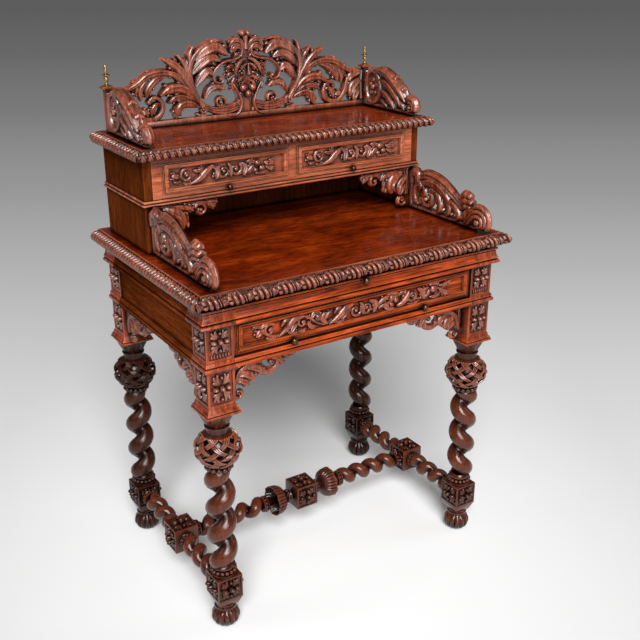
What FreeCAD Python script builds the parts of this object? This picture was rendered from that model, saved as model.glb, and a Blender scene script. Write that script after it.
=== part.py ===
import FreeCAD, Part
import math
import os

# Carved oak writing table with barley-twist legs, a pull-out writing slide, one long frieze
# drawer, and a raised case of two small drawers under a pierced gallery.
# Millimetres. X runs across the front, -Y is the front, +Z is up, and the origin lies on the
# floor under the middle of the tabletop.

V = FreeCAD.Vector

# Whole table
top_width = 772.0
top_depth = 530.0
top_height = 770.0
leg_side_setback = 61.0
leg_front_setback = 59.0
leg_back_setback = 48.0
stock_size = 58.0
slide_gap = 0.6
drawer_gap = 1.0
seat_gap = 0.3
overrun = 5.0

# Tabletop and its carved edging
top_thickness = 26.0
edging_width = 24.0

# Frieze, from the cornice down
cornice_height = 43.0
cornice_overhang = 13.0
drawer_front_height = 70.0
rail_height = 18.0
rail_overhang = 7.0
rail_depth = 42.0
post_drop = 98.0
apron_thickness = 18.0
apron_setback = 8.0
stile_width = 6.0

# Legs, from the floor up
foot_height = 50.0
foot_radius = 29.0
block_height = 84.0
collar_height = 16.0
collar_radius = 27.0
twist_radius = 20.0
twist_offset = 8.7
twist_pitch = 66.0
upper_collar_height = 25.0
upper_collar_radius = 29.0
bulb_height = 64.0
bulb_radius = 47.5
bulb_wall = 6.0
neck_height = 20.0
neck_radius = 22.5
cup_height = 30.0
cup_radius = 31.0
cap_size = 72.0
cap_height = 20.0
panel_width = 44.0
panel_margin = 8.0
panel_depth = 3.0

# Stretchers
bar_radius = 16.0
bar_offset = 7.0
bar_pitch = 43.0
bar_collar_length = 14.0
bar_collar_radius = 22.0
tulip_length = 66.0
tulip_radius = 38.0
tulip_neck_length = 12.0

# Carved brackets under the frieze
bracket_depth = 86.0
front_bracket_length = 165.0
side_bracket_length = 150.0
bracket_thickness = 14.0

# Frieze drawer
drawer_recess = 5.0
drawer_front_thickness = 16.0
drawer_back_space = 70.0
drawer_headroom = 14.0
drawer_wall = 9.0
drawer_bottom_thickness = 5.0
frame_width = 9.0
frame_relief = 4.0
frame_side_margin = 6.0
frame_top_margin = 8.0
frame_bottom_margin = 10.0
knob_inset = 125.5
knob_radius = 7.0
knob_length = 17.0
knob_level = 5.2

# Writing slide
slide_thickness = 14.0
slide_back_space = 97.0
slide_front_depth = 8.0
slide_knob_level = 31.0
bearer_height = 18.0
bearer_width = 26.0

# Raised case on the tabletop
case_side_setback = 41.5
case_front_setback = 296.5
case_back_setback = 20.5
case_height = 194.0
case_wall = 18.0
case_back_thickness = 10.0
case_floor_level = 98.0
case_floor_thickness = 12.0
case_stile_width = 20.5
case_stile_depth = 24.0
case_divider_thickness = 16.0
case_moulding_height = 12.0
case_moulding_overhang = 8.0
case_bracket_length = 150.0
case_bracket_thickness = 12.0
case_drawer_back_space = 13.0
case_drawer_headroom = 26.0
case_frame_bottom_margin = 13.0
case_frame_top_margin = 14.0
case_knob_radius = 6.0
case_knob_length = 14.0
case_knob_level = 7.0

# Upper top, gallery and consoles
upper_side_setback = 16.0
upper_back_setback = 7.0
upper_thickness = 22.0
upper_front_overhang = 33.5
upper_edging_width = 22.0
console_length = 282.0
console_height = 96.0
console_thickness = 22.0
console_inset = 3.0
gallery_height = 195.0
gallery_thickness = 16.0
gallery_setback = 29.0
gallery_post_inset = 40.0
gallery_post_size = 14.0
gallery_post_height = 91.0
gallery_cap_size = 25.0
gallery_cap_height = 5.0
wing_length = 204.0
wing_height = 88.0
wing_thickness = 14.0
finial_height = 44.0
finial_radius = 8.5

# Counts and angles
turned_sides = 10
twist_steps = 6
bar_sides = 8
bar_steps = 5
knob_sides = 8
twist_start_angle = 120.0
twist_ease_turns = 0.3

# Turned profiles: shares of the piece's radius and of its height
foot_shares = [(0.55, 0.0), (0.88, 0.2), (1.0, 0.52), (0.88, 0.82), (0.74, 1.0)]
collar_shares = [(1.0, 0.0), (1.0, 0.4), (0.85, 0.55), (0.74, 1.0)]
upper_collar_shares = [(0.69, 0.0), (1.0, 0.4), (1.0, 0.64), (0.94, 1.0)]
bulb_shares = [(0.6, 0.0), (0.93, 0.32), (1.0, 0.58), (0.9, 0.8), (0.6, 1.0)]
neck_shares = [(1.0, 0.0), (0.88, 0.3), (0.88, 0.75), (1.0, 1.0)]
cup_shares = [(0.68, 0.0), (0.78, 0.35), (1.0, 1.0)]
bar_collar_shares = [(0.72, 0.0), (1.0, 0.3), (1.0, 0.55), (0.78, 1.0)]
tulip_shares = [
    (0.45, 0.0), (0.82, 0.2), (1.0, 0.52), (0.92, 0.9), (0.8, 0.9), (0.74, 0.62), (0.38, 0.55), (0.38, 1.0)
]
knob_shares = [(0.62, 0.0), (0.62, 0.1), (0.45, 0.3), (0.8, 0.45), (1.0, 0.68), (0.72, 0.93), (0.3, 1.0)]
finial_shares = [
    (0.6, 0.0), (0.6, 0.08), (0.42, 0.14), (0.6, 0.34), (0.5, 0.46), (1.0, 0.5), (0.9, 0.55),
    (0.36, 0.6), (0.45, 0.88), (0.15, 1.0),
]
stretcher_level_share = 0.6
block_taper_share = 0.31
block_shoulder_share = 0.11
block_end_share = 0.42
bar_block_end_share = 0.45
bulb_opening_width_share = 0.22
bulb_opening_height_share = 0.36
bulb_opening_level_share = 0.5

# Mouldings: shares of the overhang and of the height
cornice_shares = [
    (0.0, 0.0), (0.7, 0.05), (1.0, 0.14), (1.0, 0.28), (0.62, 0.42), (0.38, 0.56), (0.38, 1.0), (0.0, 1.0)
]
rail_shares = [(0.0, 0.0), (0.9, 0.08), (1.0, 0.2), (1.0, 0.42), (0.45, 0.7), (0.3, 1.0), (0.0, 1.0)]
cap_shares = [(1.0, 0.0), (1.0, 0.3), (0.45, 0.62), (0.0, 1.0)]
edging_shares = [(0.25, 0.0), (0.0, 0.2), (0.0, 0.5), (0.3, 0.85), (0.55, 1.0), (1.0, 1.0), (1.0, 0.0)]
case_moulding_shares = [(1.0, 0.0), (0.2, 0.08), (0.0, 0.3), (0.3, 0.6), (0.6, 1.0), (1.0, 1.0)]

# Carved outlines in shares of the piece's length and height: a run of two points is a line, and
# a run of three is an arc
bracket_run_shares = [
    [(0.0, 0.8), (0.0, 0.0)],
    [(0.0, 0.0), (1.0, 0.0)],
    [(1.0, 0.0), (1.0, 0.12)],
    [(1.0, 0.12), (0.86, 0.35), (0.72, 0.24)],
    [(0.72, 0.24), (0.57, 0.52), (0.39, 0.26)],
    [(0.39, 0.26), (0.26, 0.58)],
    [(0.26, 0.58), (0.13, 0.64)],
    [(0.13, 0.64), (0.165, 0.95), (0.02, 0.86)],
    [(0.02, 0.86), (0.0, 0.8)],
]
bracket_cut_shares = [((0.04, 0.42), (0.28, 0.1))]
case_bracket_run_shares = [
    [(0.0, 0.93), (0.0, 0.0)],
    [(0.0, 0.0), (0.96, 0.0)],
    [(0.96, 0.0), (0.74, 0.36), (0.6, 0.24)],
    [(0.6, 0.24), (0.34, 0.4)],
    [(0.34, 0.4), (0.24, 0.7)],
    [(0.24, 0.7), (0.2, 0.9), (0.0, 0.93)],
]
case_bracket_cut_shares = [((0.05, 0.7), (0.16, 0.24))]
console_run_shares = [
    [(0.0, 0.0), (0.0, 0.93)],
    [(0.0, 0.93), (0.06, 0.99), (0.115, 0.83)],
    [(0.115, 0.83), (0.3, 0.93), (0.63, 0.56)],
    [(0.63, 0.56), (0.7, 0.76), (0.785, 0.64)],
    [(0.785, 0.64), (0.79, 0.52)],
    [(0.79, 0.52), (0.98, 0.38), (0.96, 0.0)],
    [(0.96, 0.0), (0.0, 0.0)],
]
console_cut_shares = [((0.06, 0.5), (0.32, 0.56)), ((0.4, 0.36), (0.64, 0.36))]
wing_run_shares = [
    [(0.0, 0.0), (0.0, 1.0)],
    [(0.0, 1.0), (0.1, 0.99), (0.18, 0.87)],
    [(0.18, 0.87), (0.42, 0.99), (0.65, 0.64)],
    [(0.65, 0.64), (0.69, 0.46), (0.8, 0.35)],
    [(0.8, 0.35), (0.95, 0.38), (1.0, 0.0)],
    [(1.0, 0.0), (0.0, 0.0)],
]
wing_cut_shares = [((0.2, 0.2), (0.34, 0.5)), ((0.44, 0.24), (0.56, 0.56))]
gallery_half_run_shares = [
    [(0.0, 0.99), (0.035, 0.985), (0.05, 0.9)],
    [(0.05, 0.9), (0.04, 0.87)],
    [(0.04, 0.87), (0.11, 0.86), (0.15, 0.77)],
    [(0.15, 0.77), (0.23, 0.9), (0.36, 0.81)],
    [(0.36, 0.81), (0.41, 0.86), (0.43, 0.78)],
    [(0.43, 0.78), (0.47, 0.63)],
    [(0.47, 0.63), (0.54, 0.74), (0.63, 0.765)],
    [(0.63, 0.765), (0.53, 0.6)],
    [(0.53, 0.6), (0.7, 0.57), (0.84, 0.47)],
    [(0.84, 0.47), (1.0, 0.44)],
    [(1.0, 0.44), (1.0, 0.0)],
]
gallery_cut_shares = [
    ((0.69, 0.12), (0.78, 0.46)),
    ((0.57, 0.12), (0.6, 0.5)),
    ((0.3, 0.34), (0.34, 0.58)),
    ((0.14, 0.22), (0.28, 0.32)),
]
cut_bulge_share = 0.24

# Worked-out places
front_y = -top_depth / 2
back_y = top_depth / 2
leg_x = top_width / 2 - leg_side_setback
leg_front_y = front_y + leg_front_setback
leg_back_y = back_y - leg_back_setback
half_stock = stock_size / 2
post_face_y = leg_front_y - half_stock
post_back_y = leg_back_y + half_stock
post_outer_x = leg_x + half_stock
post_inner_x = leg_x - half_stock
top_under = top_height - top_thickness
cornice_under = top_under - cornice_height
drawer_top = cornice_under - drawer_gap
drawer_under = drawer_top - drawer_front_height
rail_top = drawer_under - drawer_gap
rail_under = rail_top - rail_height
cap_level = rail_under - post_drop
stretcher_level = foot_height + block_height * stretcher_level_share
apron_outer_x = post_outer_x - apron_setback
apron_inner_x = apron_outer_x - apron_thickness
apron_back_y = post_back_y - apron_setback - apron_thickness
opening_half = post_inner_x - stile_width
drawer_face_y = post_face_y + drawer_recess
drawer_side_height = drawer_front_height - drawer_headroom
case_front_y = front_y + case_front_setback
case_back_y = back_y - case_back_setback
case_half = top_width / 2 - case_side_setback
case_inner_x = case_half - case_wall
case_top_z = top_height + case_height
case_floor_z = top_height + case_floor_level
case_drawer_base = case_floor_z + case_floor_thickness
case_drawer_side_height = case_top_z - case_drawer_base - case_drawer_headroom
upper_top_z = case_top_z + upper_thickness
upper_front_y = case_front_y - upper_front_overhang
upper_back_y = back_y - upper_back_setback
upper_half = top_width / 2 - upper_side_setback
gallery_y = upper_back_y - gallery_setback
gallery_post_x = upper_half - gallery_post_inset


def box(x0, x1, y0, y1, z0, z1):
    return Part.makeBox(x1 - x0, y1 - y0, z1 - z0, V(x0, y0, z0))


def pair(shape):
    """A piece on the left and its mirror image on the right, as one group of solids."""
    return Part.makeCompound([shape, mirrored(shape)])


def mirrored(shape):
    return shape.mirror(V(0, 0, 0), V(1, 0, 0))


def moved(shape, x, y, z):
    copy = shape.copy()
    copy.translate(V(x, y, z))
    return copy


def fused(shapes):
    return shapes[0].multiFuse(shapes[1:]).removeSplitter()


def polygon_face(points):
    return Part.Face(Part.makePolygon(points + points[:1]))


def ring(x, y, z, radius, sides):
    """Corners of a level regular polygon about a point."""
    corners = []
    for k in range(sides):
        angle = 2 * math.pi * k / sides
        corners.append(V(x + radius * math.cos(angle), y + radius * math.sin(angle), z))
    return corners


def stacked(rings):
    """Solid with flat facets through a stack of rings that have equally many corners."""
    faces = [polygon_face(rings[0][::-1]), polygon_face(rings[-1])]
    for lower, upper in zip(rings, rings[1:]):
        for k in range(len(lower)):
            faces.append(polygon_face([lower[k - 1], lower[k], upper[k], upper[k - 1]]))
    return Part.Solid(Part.Shell(faces))


def faceted(profile, sides):
    """Solid turned about Z with flat facets, from (radius, height) pairs."""
    return stacked([ring(0, 0, height, radius, sides) for radius, height in profile])


def turned(shares, radius, base, height, sides):
    return faceted([(radius * r, base + height * h) for r, h in shares], sides)


def square_turned(profile):
    """Solid with a square plan whose half width follows (half width, height) pairs."""
    outline = [(half, z) for half, z in profile] + [(-half, z) for half, z in reversed(profile)]
    reach = max(half for half, z in profile)
    along_y = polygon_face([V(a, -reach, z) for a, z in outline]).extrude(V(0, reach * 2, 0))
    along_x = polygon_face([V(-reach, a, z) for a, z in outline]).extrude(V(reach * 2, 0, 0))
    return along_y.common(along_x)


def twist(base, length, radius, offset, pitch, sides, steps, start):
    """Single-start barley twist: level sections whose centre winds about the axis, drawn in to
    the axis at both ends."""
    turns = length / pitch
    count = round(turns * steps)
    sections = []
    for i in range(count + 1):
        turned_by = turns * i / count
        ease = min(1.0, turned_by / twist_ease_turns, (turns - turned_by) / twist_ease_turns)
        angle = math.radians(start) + 2 * math.pi * turned_by
        x = offset * ease * math.cos(angle)
        y = offset * ease * math.sin(angle)
        sections.append(ring(x, y, base + length * i / count, radius, sides))
    return stacked(sections)


def outline_edges(runs):
    """One edge for each run of points: a line for two points, an arc for three."""
    edges = []
    for points in runs:
        curve = Part.LineSegment(*points) if len(points) == 2 else Part.Arc(*points)
        edges.append(curve.toShape())
    return edges


def kite_face(start, end, normal):
    """Opening between two points, sawn with four straight cuts."""
    middle = (start + end) * 0.5
    bulge = (end - start).cross(normal) * cut_bulge_share
    return polygon_face([start, middle + bulge, end, middle - bulge])


def carved_plate(run_shares, cut_shares, to_point, through):
    """Pierced plate from outline runs and sawn openings in shares; to_point places a share pair."""
    runs = [[to_point(u, v) for u, v in run] for run in run_shares]
    plate = Part.Face(Part.Wire(outline_edges(runs))).extrude(through)
    normal = V(through).normalize()
    cuts = []
    for start, end in cut_shares:
        cuts.append(kite_face(to_point(*start), to_point(*end), normal).extrude(through))
    return plate.cut(cuts)


def wall_strip(shares, width, height, base, outer_half, y0, y1):
    """Moulding along Y on the left side, standing out to the left of x = -outer_half."""
    points = [V(-outer_half - width * out, y0, base + height * up) for out, up in shares]
    return polygon_face(points).extrude(V(0, y1 - y0, 0))


def mitred_surround(shares, width, height, base, half, front, back):
    """Left, front and right lengths of a moulding, mitred at the two front corners. Shares run
    inwards from the outer edge."""
    top = base + height
    side = [V(-half + width * inwards, front, base + height * up) for inwards, up in shares]
    left = polygon_face(side).extrude(V(0, back - front, 0))
    ahead = [V(-half, front + width * inwards, base + height * up) for inwards, up in shares]
    across = polygon_face(ahead).extrude(V(half * 2, 0, 0))
    corner = [V(-half, front, base), V(-half + width, front + width, base), V(-half + width, front, base)]
    left_waste = polygon_face(corner).extrude(V(0, 0, top - base))
    ends = [V(-half, front, base), V(-half, front + width, base), V(-half + width, front + width, base)]
    end_waste = polygon_face(ends).extrude(V(0, 0, top - base))
    left = left.cut(left_waste)
    across = across.cut([end_waste, mirrored(end_waste)])
    return Part.makeCompound([left, across, mirrored(left)])


def turned_knob(radius, length, x, y, z):
    """Knob pointing to the front, with its foot on the plane at y."""
    knob = turned(knob_shares, radius, 0, length, knob_sides)
    knob.rotate(V(0, 0, 0), V(1, 0, 0), 90)
    return moved(knob, x, y, z)


def bulb_shell(base):
    """Hollow openwork bulb: lozenge openings leave crossing straps."""
    outer = turned(bulb_shares, bulb_radius, base, bulb_height, turned_sides)
    hollow_base = base + bulb_wall
    hollow_height = bulb_height - bulb_wall * 2
    hollow = turned(bulb_shares[::2], bulb_radius - bulb_wall, hollow_base, hollow_height, turned_sides)
    half_width = bulb_radius * bulb_opening_width_share
    half_height = bulb_height * bulb_opening_height_share
    level = base + bulb_height * bulb_opening_level_share
    near = bulb_radius / 2
    points = [V(near, half_width, level), V(near, 0, level + half_height)]
    points += [V(near, -half_width, level), V(near, 0, level - half_height)]
    lozenge = polygon_face(points).extrude(V(bulb_radius, 0, 0))
    cuts = [hollow]
    for i in range(turned_sides):
        cut = lozenge.copy()
        cut.rotate(V(0, 0, 0), V(0, 0, 1), 360 * (i + 0.5) / turned_sides)
        cuts.append(cut)
    return outer.cut(cuts)


def leg_block():
    """Square block for the stretchers, its corners turned away at both ends."""
    corner = half_stock * math.sqrt(2)
    end = stock_size * block_end_share
    full_from = foot_height + block_height * block_taper_share
    full_to = foot_height + block_height * (1 - block_shoulder_share)
    block_top = foot_height + block_height
    limit_profile = [(end, foot_height), (corner, full_from), (corner, full_to), (collar_radius, block_top)]
    limit = faceted(limit_profile, turned_sides)
    square = box(-half_stock, half_stock, -half_stock, half_stock, foot_height, block_top)
    return square.common(limit)


def leg():
    """Foot to leaf cup, on the Z axis, with the twist of the left-hand legs."""
    collar_base = foot_height + block_height
    twist_base = collar_base + collar_height
    cup_base = cap_level - cup_height
    neck_base = cup_base - neck_height
    bulb_base = neck_base - bulb_height
    upper_base = bulb_base - upper_collar_height
    shaft = upper_base - twist_base
    return fused([
        turned(foot_shares, foot_radius, 0, foot_height, turned_sides),
        leg_block(),
        turned(collar_shares, collar_radius, collar_base, collar_height, turned_sides),
        twist(twist_base, shaft, twist_radius, twist_offset, twist_pitch, turned_sides, twist_steps,
              twist_start_angle),
        turned(upper_collar_shares, upper_collar_radius, upper_base, upper_collar_height, turned_sides),
        bulb_shell(bulb_base),
        turned(neck_shares, neck_radius, neck_base, neck_height, turned_sides),
        turned(cup_shares, cup_radius, cup_base, cup_height, turned_sides),
    ])


def stepped(shares, overhang, base, height):
    """Half widths and heights of a moulding round a post, from its shares."""
    return [(half_stock + overhang * out, base + height * up) for out, up in shares]


def panel_pocket(y, z0, z1):
    """Waste of a sunk panel in the front face of a post on the Z axis."""
    half = panel_width / 2
    return box(-half, half, y - overrun, y + panel_depth, z0 + panel_margin, z1 - panel_margin)


def post(y, is_front):
    """Left-hand frieze post: flared cap, sunk panels, rail moulding and cornice."""
    cap_flare = cap_size / 2 - half_stock
    cap_top = cap_level + cap_height
    cap = square_turned(stepped(cap_shares, cap_flare, cap_level, cap_height))
    profile = [(half_stock, cap_top)]
    profile += stepped(rail_shares, rail_overhang, rail_under, rail_height)
    profile += stepped(cornice_shares, cornice_overhang, cornice_under, cornice_height)
    reach = half_stock + cornice_overhang
    shaft = square_turned(profile)
    front_reach = reach if is_front else half_stock
    shaft = shaft.common(box(-reach, half_stock, -front_reach, half_stock, cap_top, top_under))
    cuts = []
    for z0, z1 in [(cap_top, rail_under), (rail_top, cornice_under)]:
        pocket = panel_pocket(-half_stock, z0, z1)
        turned_pocket = pocket.copy()
        turned_pocket.rotate(V(0, 0, 0), V(0, 0, 1), -90)
        cuts.append(turned_pocket)
        if is_front:
            cuts.append(pocket)
    return moved(fused([cap, shaft]).cut(cuts), -leg_x, y, 0)


def stretcher_block():
    """Carved square block on the Z axis, centred on the origin, with its corners turned at the ends."""
    corner = half_stock * math.sqrt(2)
    end = stock_size * bar_block_end_share
    shoulder = stock_size * block_shoulder_share
    profile = [(end, -half_stock), (corner, -half_stock + shoulder)]
    profile += [(corner, half_stock - shoulder), (end, half_stock)]
    limit = faceted(profile, turned_sides)
    return box(-half_stock, half_stock, -half_stock, half_stock, -half_stock, half_stock).common(limit)


def bar_end(start, end):
    """Collar, twist and collar of a stretcher between two heights on the Z axis."""
    shaft = end - start - bar_collar_length * 2
    last = end - bar_collar_length
    far_shares = [(r, 1 - h) for r, h in reversed(bar_collar_shares)]
    return [
        turned(bar_collar_shares, bar_collar_radius, start, bar_collar_length, bar_sides),
        twist(start + bar_collar_length, shaft, bar_radius, bar_offset, bar_pitch, bar_sides, bar_steps, 0),
        turned(far_shares, bar_collar_radius, last, bar_collar_length, bar_sides),
    ]


def both_ends(pieces):
    """Pieces above the origin and their mirror images below it."""
    return pieces + [piece.mirror(V(0, 0, 0), V(0, 0, 1)) for piece in pieces]


def side_stretcher():
    """Left-hand stretcher from front leg block to back leg block."""
    half = (leg_back_y - leg_front_y) / 2 - half_stock
    bar = fused([stretcher_block()] + both_ends(bar_end(half_stock, half)))
    bar.rotate(V(0, 0, 0), V(1, 0, 0), -90)
    return moved(bar, -leg_x, (leg_front_y + leg_back_y) / 2, stretcher_level)


def cross_stretcher():
    """Stretcher between the blocks of the side stretchers, with a carved tulip each side of its block."""
    half = leg_x - half_stock
    tulip_base = half_stock + tulip_neck_length
    pieces = [
        turned(bar_collar_shares, bar_collar_radius, half_stock, tulip_neck_length, bar_sides),
        turned(tulip_shares, tulip_radius, tulip_base, tulip_length, turned_sides),
    ]
    pieces += bar_end(tulip_base + tulip_length, half)
    bar = fused([stretcher_block()] + both_ends(pieces))
    bar.rotate(V(0, 0, 0), V(0, 1, 0), 90)
    return moved(bar, 0, (leg_front_y + leg_back_y) / 2, stretcher_level)


def front_bracket():
    """Left-hand carved bracket between the front post and the front rail."""
    y = leg_front_y - bracket_thickness / 2

    def place(u, v):
        return V(-post_inner_x + front_bracket_length * u, y, rail_under - bracket_depth * v)

    return carved_plate(bracket_run_shares, bracket_cut_shares, place, V(0, bracket_thickness, 0))


def side_brackets():
    """Two left-hand carved brackets under the side apron, one at each post."""
    x = -apron_outer_x

    def place_front(u, v):
        return V(x, leg_front_y + half_stock + side_bracket_length * u, rail_under - bracket_depth * v)

    def place_back(u, v):
        return V(x, leg_back_y - half_stock - side_bracket_length * u, rail_under - bracket_depth * v)

    through = V(bracket_thickness, 0, 0)
    front = carved_plate(bracket_run_shares, bracket_cut_shares, place_front, through)
    back = carved_plate(bracket_run_shares, bracket_cut_shares, place_back, through)
    return Part.makeCompound([front, back])


def front_rail():
    """Moulded rail under the frieze drawer, in line with the post mouldings."""
    points = [V(-post_inner_x, post_face_y - rail_overhang * out, rail_under + rail_height * up)
              for out, up in rail_shares]
    points += [V(-post_inner_x, post_face_y + rail_depth, rail_top)]
    points += [V(-post_inner_x, post_face_y + rail_depth, rail_under)]
    return polygon_face(points).extrude(V(post_inner_x * 2, 0, 0))


def slide_rail():
    """Rail between the drawer and the writing slide."""
    front = post_face_y + slide_front_depth + slide_gap
    back = post_face_y + rail_depth
    return box(-post_inner_x, post_inner_x, front, back, cornice_under, cornice_under + bearer_height)


def side_apron():
    """Left-hand apron with its bottom moulding."""
    y0 = leg_front_y + half_stock
    y1 = leg_back_y - half_stock
    board = box(-apron_outer_x, -apron_inner_x, y0, y1, rail_under, top_under)
    reach = apron_setback + rail_overhang
    strip = wall_strip(rail_shares, reach, rail_height, rail_under, apron_outer_x, y0, y1)
    return fused([board, strip])


def side_cornice():
    """Left-hand cornice between the front and back posts."""
    y0 = leg_front_y + half_stock
    y1 = leg_back_y - half_stock
    reach = apron_setback + cornice_overhang
    return wall_strip(cornice_shares, reach, cornice_height, cornice_under, apron_outer_x, y0, y1)


def back_apron():
    y1 = apron_back_y + apron_thickness
    return box(-post_inner_x, post_inner_x, apron_back_y, y1, rail_under, top_under)


def drawer_runner():
    """Left-hand runner of the frieze drawer: a floor under the drawer side and a guide beside it."""
    y0 = post_face_y + rail_depth
    y1 = apron_back_y
    floor_x = -opening_half + drawer_wall * 2
    floor_top = drawer_under - seat_gap
    guide_top = rail_top + drawer_side_height
    points = [V(-apron_inner_x, y0, rail_under), V(floor_x, y0, rail_under), V(floor_x, y0, floor_top)]
    points += [V(-opening_half, y0, floor_top), V(-opening_half, y0, guide_top)]
    points += [V(-apron_inner_x, y0, guide_top)]
    return polygon_face(points).extrude(V(0, y1 - y0, 0)).cut(post_spaces())


def post_spaces():
    """Left-hand posts, as waste for the runners and bearers that pass beside them."""
    spaces = []
    for y in [leg_front_y, leg_back_y]:
        y0 = y - half_stock
        y1 = y + half_stock
        spaces.append(box(-post_outer_x, -post_inner_x, y0, y1, cap_level, top_under))
    return spaces


def slide_bearer():
    """Left-hand bearer of the writing slide: a ledge under the board and a guide beside it."""
    y0 = post_face_y + rail_depth
    y1 = apron_back_y
    ledge_top = cornice_under + bearer_height
    guide_x = -opening_half
    points = [V(-apron_inner_x, y0, cornice_under), V(guide_x + bearer_width, y0, cornice_under)]
    points += [V(guide_x + bearer_width, y0, ledge_top), V(guide_x, y0, ledge_top)]
    points += [V(guide_x, y0, top_under), V(-apron_inner_x, y0, top_under)]
    return polygon_face(points).extrude(V(0, y1 - y0, 0)).cut(post_spaces())


def front_stile():
    """Left-hand strip between the front post and the frieze drawer."""
    y1 = post_face_y + rail_depth
    return box(-post_inner_x, -opening_half, drawer_face_y, y1, rail_top, cornice_under)


def raised_frame(x0, x1, face_y, z0, z1):
    """Rectangular moulding standing out from a drawer front."""
    front = face_y - frame_relief
    outer = box(x0, x1, front, face_y, z0, z1)
    x0 += frame_width
    x1 -= frame_width
    return outer.cut(box(x0, x1, front, face_y, z0 + frame_width, z1 - frame_width))


def drawer_front(x0, x1, face_y, z0, z1, bottom_margin, top_margin):
    board = box(x0, x1, face_y, face_y + drawer_front_thickness, z0, z1)
    frame_x0 = x0 + frame_side_margin
    frame_x1 = x1 - frame_side_margin
    return fused([board, raised_frame(frame_x0, frame_x1, face_y, z0 + bottom_margin, z1 - top_margin)])


def drawer_box(name, x0, x1, face_y, y1, base, side_height):
    """Sides, back and bottom of a drawer behind its front, as far as y1."""
    y0 = face_y + drawer_front_thickness
    floor = base + drawer_wall
    floor_top = floor + drawer_bottom_thickness
    left = box(x0, x0 + drawer_wall, y0, y1, base, base + side_height)
    right = box(x1 - drawer_wall, x1, y0, y1, base, base + side_height)
    back = box(x0 + drawer_wall, x1 - drawer_wall, y1 - drawer_wall, y1, floor_top, base + side_height)
    bottom = box(x0 + drawer_wall, x1 - drawer_wall, y0, y1, floor, floor_top)
    return {
        name + "_sides": Part.makeCompound([left, right]),
        name + "_back": back,
        name + "_bottom": bottom,
    }


def frieze_drawer():
    half = opening_half - slide_gap
    face = drawer_face_y
    front = drawer_front(-half, half, face, drawer_under, drawer_top, frame_bottom_margin, frame_top_margin)
    knob_z = drawer_under + knob_level
    knob = turned_knob(knob_radius, knob_length, knob_inset - opening_half, face, knob_z)
    y1 = apron_back_y - drawer_back_space
    nodes = drawer_box("frieze_drawer", -half, half, face, y1, drawer_under, drawer_side_height)
    nodes["frieze_drawer_front"] = front
    nodes["frieze_drawer_knobs"] = pair(knob)
    return nodes


def writing_slide():
    """Board, moulded front and knob of the slide, whose front continues the cornice."""
    half = post_inner_x - slide_gap
    back = post_face_y + slide_front_depth
    level = cornice_under + bearer_height + seat_gap
    points = [V(-half, post_face_y - cornice_overhang * out, cornice_under + cornice_height * up)
              for out, up in cornice_shares[:-1]]
    points[0] = V(-half, back, cornice_under)
    points[-1].z = top_under - slide_gap
    points.append(V(-half, back, top_under - slide_gap))
    front = polygon_face(points).extrude(V(half * 2, 0, 0))
    board_half = opening_half - slide_gap
    board_back = apron_back_y - slide_back_space
    board = box(-board_half, board_half, back, board_back, level, level + slide_thickness)
    fascia = post_face_y - cornice_overhang * cornice_shares[-2][0]
    knob = turned_knob(knob_radius, knob_length, 0, fascia, cornice_under + slide_knob_level)
    return {"slide_front": front, "slide_board": board, "slide_knob": knob}


def tabletop():
    half = top_width / 2 - edging_width
    return box(-half, half, front_y + edging_width, back_y, top_under, top_height)


def tabletop_edging():
    return mitred_surround(
        edging_shares, edging_width, top_thickness, top_under, top_width / 2, front_y, back_y
    )


def case_side():
    return box(-case_half, -case_inner_x, case_front_y, case_back_y, top_height, case_top_z)


def case_back():
    y0 = case_back_y - case_back_thickness
    return box(-case_inner_x, case_inner_x, y0, case_back_y, top_height, case_top_z)


def case_floor():
    y1 = case_back_y - case_back_thickness
    return box(-case_inner_x, case_inner_x, case_front_y, y1, case_floor_z, case_drawer_base)


def case_stile():
    """Left-hand end stile beside the small drawer."""
    x1 = -case_inner_x + case_stile_width
    y1 = case_front_y + case_stile_depth
    return box(-case_inner_x, x1, case_front_y, y1, case_drawer_base, case_top_z)


def case_guide():
    """Left-hand guide behind the end stile, for the side of the small drawer."""
    x1 = -case_inner_x + case_stile_width
    y0 = case_front_y + case_stile_depth
    y1 = case_back_y - case_back_thickness
    z1 = case_drawer_base + case_drawer_side_height
    return box(-case_inner_x, x1, y0, y1, case_drawer_base, z1)


def case_divider():
    half = case_divider_thickness / 2
    y1 = case_back_y - case_back_thickness
    return box(-half, half, case_front_y, y1, case_drawer_base, case_top_z)


def case_moulding():
    out = case_moulding_overhang
    front = case_front_y - out
    return mitred_surround(
        case_moulding_shares, out, case_moulding_height, case_floor_z, case_half + out, front, case_back_y
    )


def case_bracket():
    """Left-hand carved bracket in the corner of the open shelf space."""

    def place(u, v):
        return V(-case_inner_x + case_bracket_length * u, case_front_y, case_floor_z - case_floor_level * v)

    return carved_plate(
        case_bracket_run_shares, case_bracket_cut_shares, place, V(0, case_bracket_thickness, 0)
    )


def console():
    """Left-hand carved scroll running forward from the case on the tabletop."""

    x = -case_half + console_inset

    def place(u, v):
        return V(x, case_front_y - console_length * u, top_height + console_height * v)

    return carved_plate(console_run_shares, console_cut_shares, place, V(console_thickness, 0, 0))


def small_drawer():
    """Left-hand small drawer."""
    x0 = -case_inner_x + case_stile_width + slide_gap
    x1 = -case_divider_thickness / 2 - slide_gap
    base = case_drawer_base + seat_gap
    top = case_top_z - drawer_gap
    front = drawer_front(x0, x1, case_front_y, base, top, case_frame_bottom_margin, case_frame_top_margin)
    middle = (x0 + x1) / 2
    knob = turned_knob(case_knob_radius, case_knob_length, middle, case_front_y, base + case_knob_level)
    y1 = case_back_y - case_back_thickness - case_drawer_back_space
    nodes = drawer_box("left_drawer", x0, x1, case_front_y, y1, base, case_drawer_side_height)
    nodes["left_drawer_front"] = front
    nodes["left_drawer_knob"] = knob
    return nodes


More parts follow.
